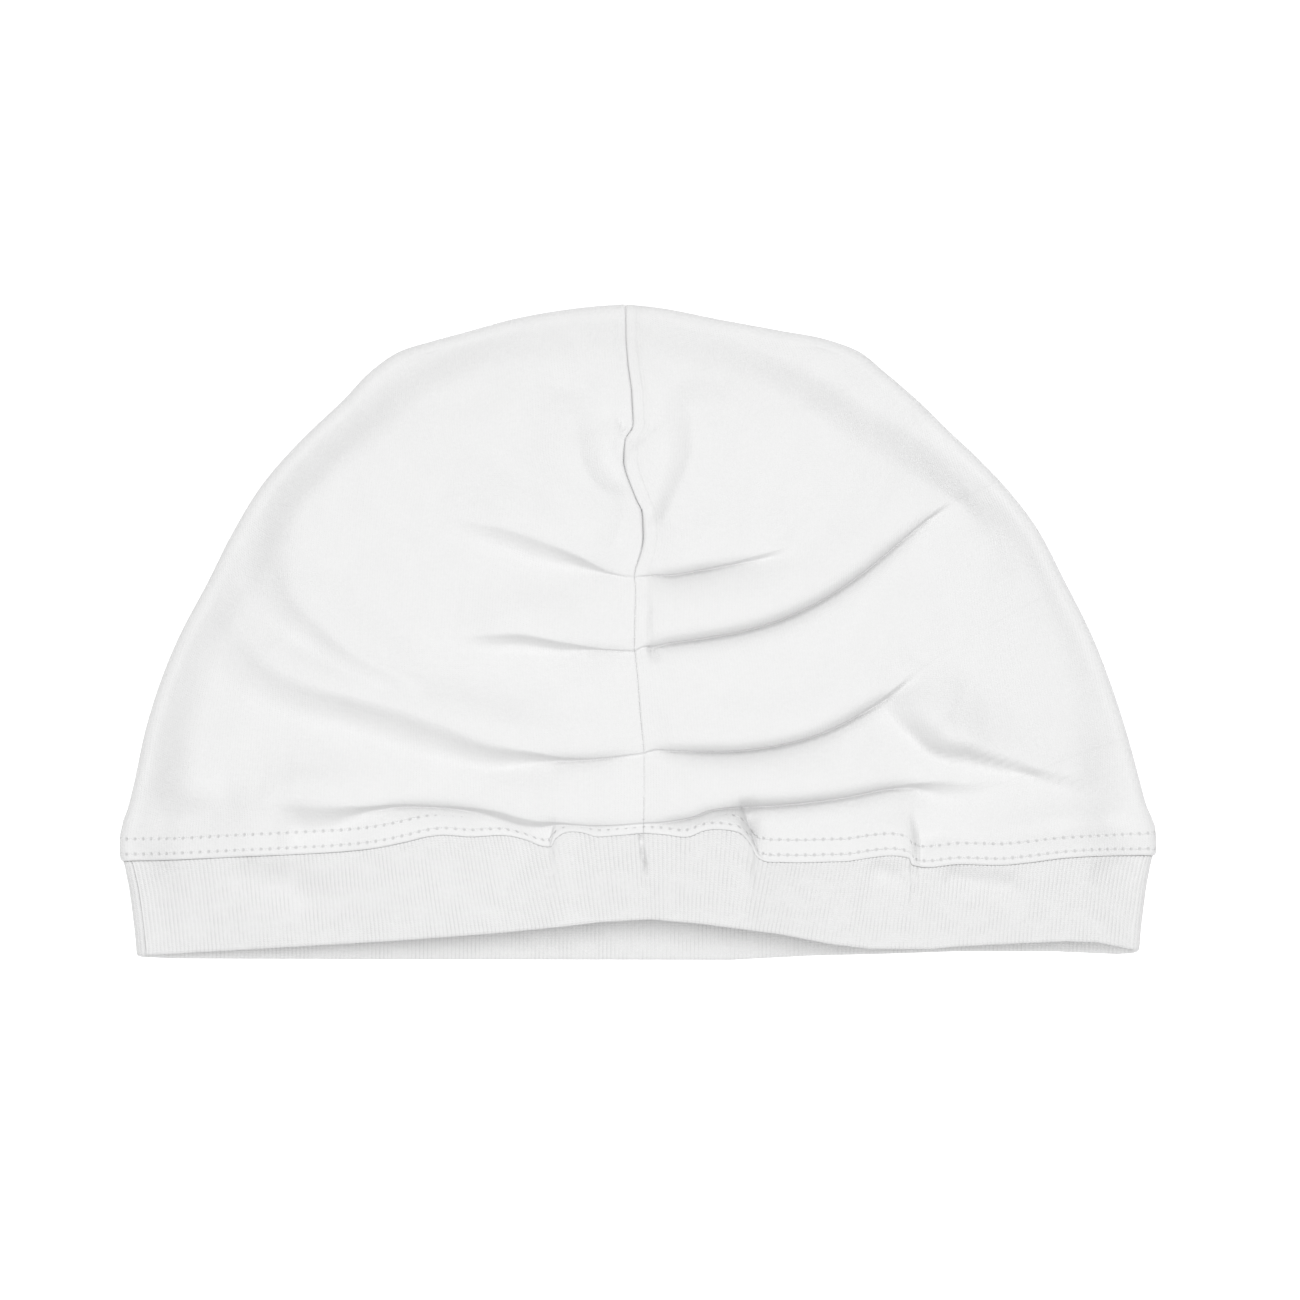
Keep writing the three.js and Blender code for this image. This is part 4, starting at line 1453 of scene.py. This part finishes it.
class Value:
    """A node's output in a shader, on which arithmetic adds Math nodes."""

    def __init__(self, tree: Any, socket: Any) -> None:
        """Wraps an output socket of a node tree."""
        self.tree = tree
        self.socket = socket

    def math(self, operation: str, *values: Any) -> "Value":
        """Adds a Math node of that operation on the given values."""
        settings = {"operation": operation}
        return add_node(self.tree, "ShaderNodeMath", settings, dict(enumerate(values)))

    def __add__(self, other: Any) -> "Value":
        """The sum."""
        return self.math("ADD", self, other)

    def __sub__(self, other: Any) -> "Value":
        """The difference."""
        return self.math("SUBTRACT", self, other)

    def __rsub__(self, other: Any) -> "Value":
        """The difference, from the other."""
        return self.math("SUBTRACT", other, self)

    def __mul__(self, other: Any) -> "Value":
        """The product."""
        return self.math("MULTIPLY", self, other)

    def cosine(self) -> "Value":
        """The cosine of the value, in turns."""
        return self.math("COSINE", self * (2 * math.pi))

    def swing(self, reach: float) -> "Value":
        """The value run to and fro between 0 and reach."""
        return self.math("PINGPONG", self, reach)

    def eased(self, low: float, high: float, start: float = 0.0, end: float = 1.0) -> "Value":
        """An eased step from start to end as the value goes from low to high."""
        return add_node(
            self.tree, "ShaderNodeMapRange", {"interpolation_type": "SMOOTHSTEP"},
            {0: self, 1: low, 2: high, 3: start, 4: end},
        )


def add_node(tree: Any, kind: str, settings: dict[str, Any], sockets: dict[Any, Any]) -> Value:
    """Adds a node to a tree.

    Args:
        tree: the node tree.
        kind: the node's type.
        settings: its settings, which are set first.
        sockets: the values or links of its inputs, by name or number.

    Returns:
        Its first output, if it has any.
    """
    node = tree.nodes.new(kind)
    for key, value in settings.items():
        setattr(node, key, value)
    for key, value in sockets.items():
        if isinstance(value, Value):
            tree.links.new(value.socket, node.inputs[key])
        else:
            node.inputs[key].default_value = value
    return Value(tree, node.outputs[0] if node.outputs else None)


@dataclass(frozen=True)
class Cloth:
    """What the cap's finishes share: a matt white cotton with a height for its bump.

    Attributes:
        shade: the base grey.
        roughness: the roughness.
        sheen: how much the loose fibres catch the light.
        depth: the height of the bump, in millimetres.
    """

    shade: float = 0.71
    roughness: float = 0.9
    sheen: float = 0.06
    depth: float = 0.1

    name = "cloth"

    SHEEN_ROUGHNESS = 0.6
    SPECULAR = 0.25
    CONTRAST = (0.3, 0.7)  # the values of a noise between which it shades the cloth
    FINE, COARSE = 4.0, 2.0  # detail of the noise of lumps, and of drifts

    def material(self) -> Any:
        """Makes the material."""
        material = bpy.data.materials.new(self.name)
        material.use_nodes = True
        tree = material.node_tree
        tree.nodes.clear()
        height, light = self.pattern(tree)
        grey = light * self.shade
        colour = add_node(tree, "ShaderNodeCombineColor", {}, {0: grey, 1: grey, 2: grey})
        bump = add_node(tree, "ShaderNodeBump", {}, {
            "Strength": 1.0, "Distance": self.depth * MM, "Height": height,
        })
        shader = add_node(tree, "ShaderNodeBsdfPrincipled", {}, {
            "Base Color": colour, "Roughness": self.roughness, "Sheen Weight": self.sheen,
            "Sheen Roughness": self.SHEEN_ROUGHNESS, "Specular IOR Level": self.SPECULAR,
            "Normal": bump,
        })
        add_node(tree, "ShaderNodeOutputMaterial", {}, {"Surface": shader})
        return material

    def pattern(self, tree: Any) -> tuple[Value, Value]:
        """Draws the finish.

        Args:
            tree: the material's node tree.

        Returns:
            The bump's height, and the share of the base grey.
        """
        raise NotImplementedError

    @staticmethod
    def places(tree: Any, name: str = "cloth") -> tuple[Value, Value, Value]:
        """A UV map's two numbers, in millimetres, and the map itself."""
        uv = add_node(tree, "ShaderNodeUVMap", {"uv_map": name}, {})
        u = add_node(tree, "ShaderNodeSeparateXYZ", {}, {0: uv})
        return u, Value(tree, u.socket.node.outputs[1]), uv

    @staticmethod
    def noise(tree: Any, at: Value, size: float, detail: float = COARSE) -> Value:
        """Noise from 0 to 1 whose lumps have a size in millimetres."""
        return add_node(tree, "ShaderNodeTexNoise", {}, {
            "Vector": at, "Scale": 1 / size, "Detail": detail,
        })


@dataclass(frozen=True)
class Jersey(Cloth):
    """Plain cotton jersey, with the needle holes of the coverstitch along its hem.

    Attributes:
        wale: the width of a stitch.
        course: the height of a stitch.
    """

    wale: float = 0.72
    course: float = 0.55
    depth: float = 0.09

    name = "jersey"

    DRIFT = 3.0  # size of the patches in which the rows of stitches drift,
    DRIFTS = (0.35, 0.3)  # and how far, across and along, in stitches
    SLANT = 0.9  # how far the legs of a stitch slant
    SWING = 0.3  # how far a row and a wale each make them rise and fall
    LUMP = 1.1  # size of the yarn's lumps
    CLOUD = 7.0  # size of the slightly darker patches
    PALE = (0.985, 1.0)  # how dark those patches are, how dark the painted shade in the dips between lumps is, and the rest
    KNIT, LUMPY, PUNCHED = 0.5, 1.2, 1.6  # how much of the height each makes up
    HOLE = (0.1, 0.6)  # how far from its middle a needle hole starts to rise, and ends
    SHADED = 0.22  # how much darker a hole is painted, as shade in it

    def pattern(self, tree: Any) -> tuple[Value, Value]:
        """The knit's slanting legs, cotton lumps, and the holes along the hem, with painted shade
        in the holes and in the dips between lumps.
        """
        u, v, uv = self.places(tree)
        wander = self.noise(tree, uv, self.DRIFT) - 0.5
        u = u * (1 / self.wale) + wander * self.DRIFTS[0]
        v = v * (1 / self.course) + wander * self.DRIFTS[1]
        leg = u.swing(0.5)
        knit = (v + leg * self.SLANT).cosine() * self.SWING
        knit = knit + (u + 0.25).cosine() * self.SWING
        lumps = self.noise(tree, uv, self.LUMP, self.FINE)
        holes = self.holes(tree)
        height = knit * self.KNIT + lumps * self.LUMPY - holes * self.PUNCHED
        clouds = self.noise(tree, uv, self.CLOUD, 5.0).eased(0.25, 0.75, *self.PALE)
        # painted shade: the dips between lumps are painted darker; the clouds are the cloth's own
        # uneven tone
        light = clouds * lumps.eased(*self.CONTRAST, *self.PALE)
        # painted shade: the needle holes are painted darker here
        return height, light * (1 - holes * self.SHADED)

    def holes(self, tree: Any) -> Value:
        """The needle holes, as a mask for their dents and for the shade painted in them."""
        u, v, _ = self.places(tree, "hem")
        beside = (u * (1 / STITCH)).swing(0.5) * STITCH
        total = None
        for height in ROW_HEIGHTS:
            above = v - height
            apart = beside * beside + above * above
            hole = apart.math("SQRT", apart).eased(*self.HOLE, 1.0, 0.0)
            total = hole if total is None else total + hole
        return total


@dataclass(frozen=True)
class Rib(Cloth):
    """Cotton rib: the ribs are in the mesh, and the finish adds the stitches on them, with painted
    shade in the channels between them.

    Attributes:
        course: the height of a stitch.
    """

    course: float = 0.6
    depth: float = 0.08

    name = "rib"

    DRIFT = 3.0  # size of the patches in which the stitches drift
    LUMP = 1.0  # size of the yarn's lumps
    PATCH = 5.0  # size of the patches in which shade is painted into the channels between ribs,
    CHANNEL_SHADE = 0.14  # and how much darker that painted shade makes them at most
    SLANT = 1.2  # how far the legs of a stitch slant
    DRIFTS = 0.5  # how far a patch drifts, in stitches
    DEEP = (0.25, 0.5)  # between which places off a rib's middle the painted shade of its channel deepens
    PALE = (0.98, 1.0)  # how dark the painted shade in the dips between lumps is, and the rest
    KNIT = 0.35  # how high the stitches stand against the lumps

    def pattern(self, tree: Any) -> tuple[Value, Value]:
        """Stitches up each rib, and painted shade in the channels between the ribs and in the dips
        between lumps.
        """
        u, v, uv = self.places(tree)
        wander = self.noise(tree, uv, self.DRIFT) - 0.5
        leg = u.swing(0.5)
        knit = (v * (1 / self.course) + leg * self.SLANT + wander * self.DRIFTS).cosine()
        lumps = self.noise(tree, uv, self.LUMP, self.FINE)
        shade_patches = self.noise(tree, uv, self.PATCH, 3.0).eased(*self.CONTRAST, 0.0, self.CHANNEL_SHADE)
        # painted shade: the channels between ribs, and the dips between lumps below, are painted
        # darker
        channel_shade = 1.0 - leg.eased(*self.DEEP) * shade_patches
        return knit * self.KNIT + lumps, channel_shade * lumps.eased(*self.CONTRAST, *self.PALE)


@dataclass(frozen=True)
class Thread(Cloth):
    """Twisted sewing thread, a little smoother than the cloth."""

    shade: float = 0.82
    roughness: float = 0.7
    depth: float = 0.05

    name = "thread"

    TURNS = (1.6, 2.2)  # turns of the twist for a millimetre round the thread, and along it
    PALE = (0.95, 1.0)  # how dark the painted shade in the twist's furrows is, and the rest

    def pattern(self, tree: Any) -> tuple[Value, Value]:
        """The twist of the plies, with painted shade in its furrows."""
        u, v, _ = self.places(tree)
        twist = (u * self.TURNS[0] + v * self.TURNS[1]).cosine()
        # painted shade: the twist's furrows are painted darker
        return twist, twist.eased(-1.0, 1.0, *self.PALE)


@dataclass
class Studio:
    """A pale floor under soft light, and the camera straight above. Its sizes are in metres.

    Attributes:
        span: the width of floor that the camera takes in.
        height: the camera's height.
        centre: the middle of the view.
        floor_shade: the floor's grey.
        floor_glow: the light it gives off itself.
        sky: the strength of the light from all round.
        lamp: the lamp's power in watts.
    """

    span: float = 0.325
    height: float = 2.5
    centre: tuple[float, float] = (0.003, -0.0045)
    floor_shade: float = 0.96
    floor_glow: float = 0.3
    sky: float = 0.4
    lamp: float = 15.0

    FLOOR_SIZE = 12
    FLOOR_DROP = 0.0002  # how far the floor lies below the cap
    CLOTH_HEIGHT = 0.01  # the height at which the span is measured
    SENSOR = 36  # width of the camera's sensor, in millimetres
    FARTHEST = 20  # how far the camera sees
    LAMP_PLACE = (0.02, 0.01, 0.95)
    LAMP_SIZE = 1.6  # the length of its side
    WHITE = (1, 1, 1, 1)

    def build(self) -> None:
        """Lays the floor, hangs the light and sets the camera."""
        self.lay_floor()
        world = bpy.data.worlds.new("studio")
        bpy.context.scene.world = world
        world.use_nodes = True
        sky = world.node_tree.nodes["Background"]
        self.set_inputs(sky, {"Color": self.WHITE, "Strength": self.sky})
        lamp = bpy.data.lights.new("softbox", "AREA")
        lamp.size = self.LAMP_SIZE
        lamp.energy = self.lamp
        obj = self.placed("softbox", lamp, self.LAMP_PLACE)
        obj.rotation_euler = Vector(self.LAMP_PLACE).to_track_quat("Z", "Y").to_euler()
        camera = bpy.data.cameras.new("camera")
        camera.sensor_width = self.SENSOR
        camera.lens = self.SENSOR * (self.height - self.CLOTH_HEIGHT) / self.span
        camera.clip_end = self.FARTHEST
        bpy.context.scene.camera = self.placed("camera", camera, (*self.centre, self.height))
        bpy.context.scene.view_settings.view_transform = "Standard"

    def lay_floor(self) -> None:
        """Lays the floor, which the studio keeps to itself."""
        place = (0, 0, CAD_BOX[0].z - self.FLOOR_DROP)
        bpy.ops.mesh.primitive_plane_add(size=self.FLOOR_SIZE, location=place)
        floor = bpy.context.object
        floor.name = "floor"
        material = bpy.data.materials.new("floor")
        material.use_nodes = True
        self.set_inputs(material.node_tree.nodes["Principled BSDF"], {
            "Base Color": (*[self.floor_shade] * 3, 1), "Roughness": 1,
            "Specular IOR Level": 0, "Emission Color": self.WHITE,
            "Emission Strength": self.floor_glow,
        })
        floor.data.materials.append(material)

    @staticmethod
    def set_inputs(node: Any, values: dict[str, Any]) -> None:
        """Sets a node's inputs by name."""
        for key, value in values.items():
            node.inputs[key].default_value = value

    @staticmethod
    def placed(name: str, data: Any, place: tuple[float, ...]) -> Any:
        """Puts a lamp or a camera at a place in the scene.

        Args:
            name: its name.
            data: the lamp's or the camera's data.
            place: where it hangs.

        Returns:
            The object.
        """
        obj = bpy.data.objects.new(name, data)
        obj.location = place
        bpy.context.scene.collection.objects.link(obj)
        return obj


def finish(obj: Any, material: Any) -> None:
    """Puts a piece on the cap's one body, in a finish.

    Args:
        obj: the piece.
        material: its material.
    """
    obj.data.materials.append(material)
    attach(obj, "root")
    LOG.info("%s: %d faces", obj.name, len(obj.data.polygons))


def main() -> None:
    """Builds the cap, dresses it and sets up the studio."""
    logging.basicConfig(level=logging.INFO, format="%(name)s: %(message)s")
    jersey, rib, thread = Jersey().material(), Rib().material(), Thread().material()
    front = Front()
    halves = [CrownHalf(side, front) for side in Side]
    crown = [half.build() for half in halves]
    for obj, node in zip(crown, ("crown_left", "crown_right")):
        finish(obj, jersey)
        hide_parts(node)
    band = Band(front).build()
    finish(band, rib)
    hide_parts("band")
    coverstitch = Coverstitch().build(halves)
    finish(coverstitch, thread)
    seam = SeamStitches().build(halves)
    finish(seam, thread)
    Studio().build()


if __name__ == "__main__":
    main()
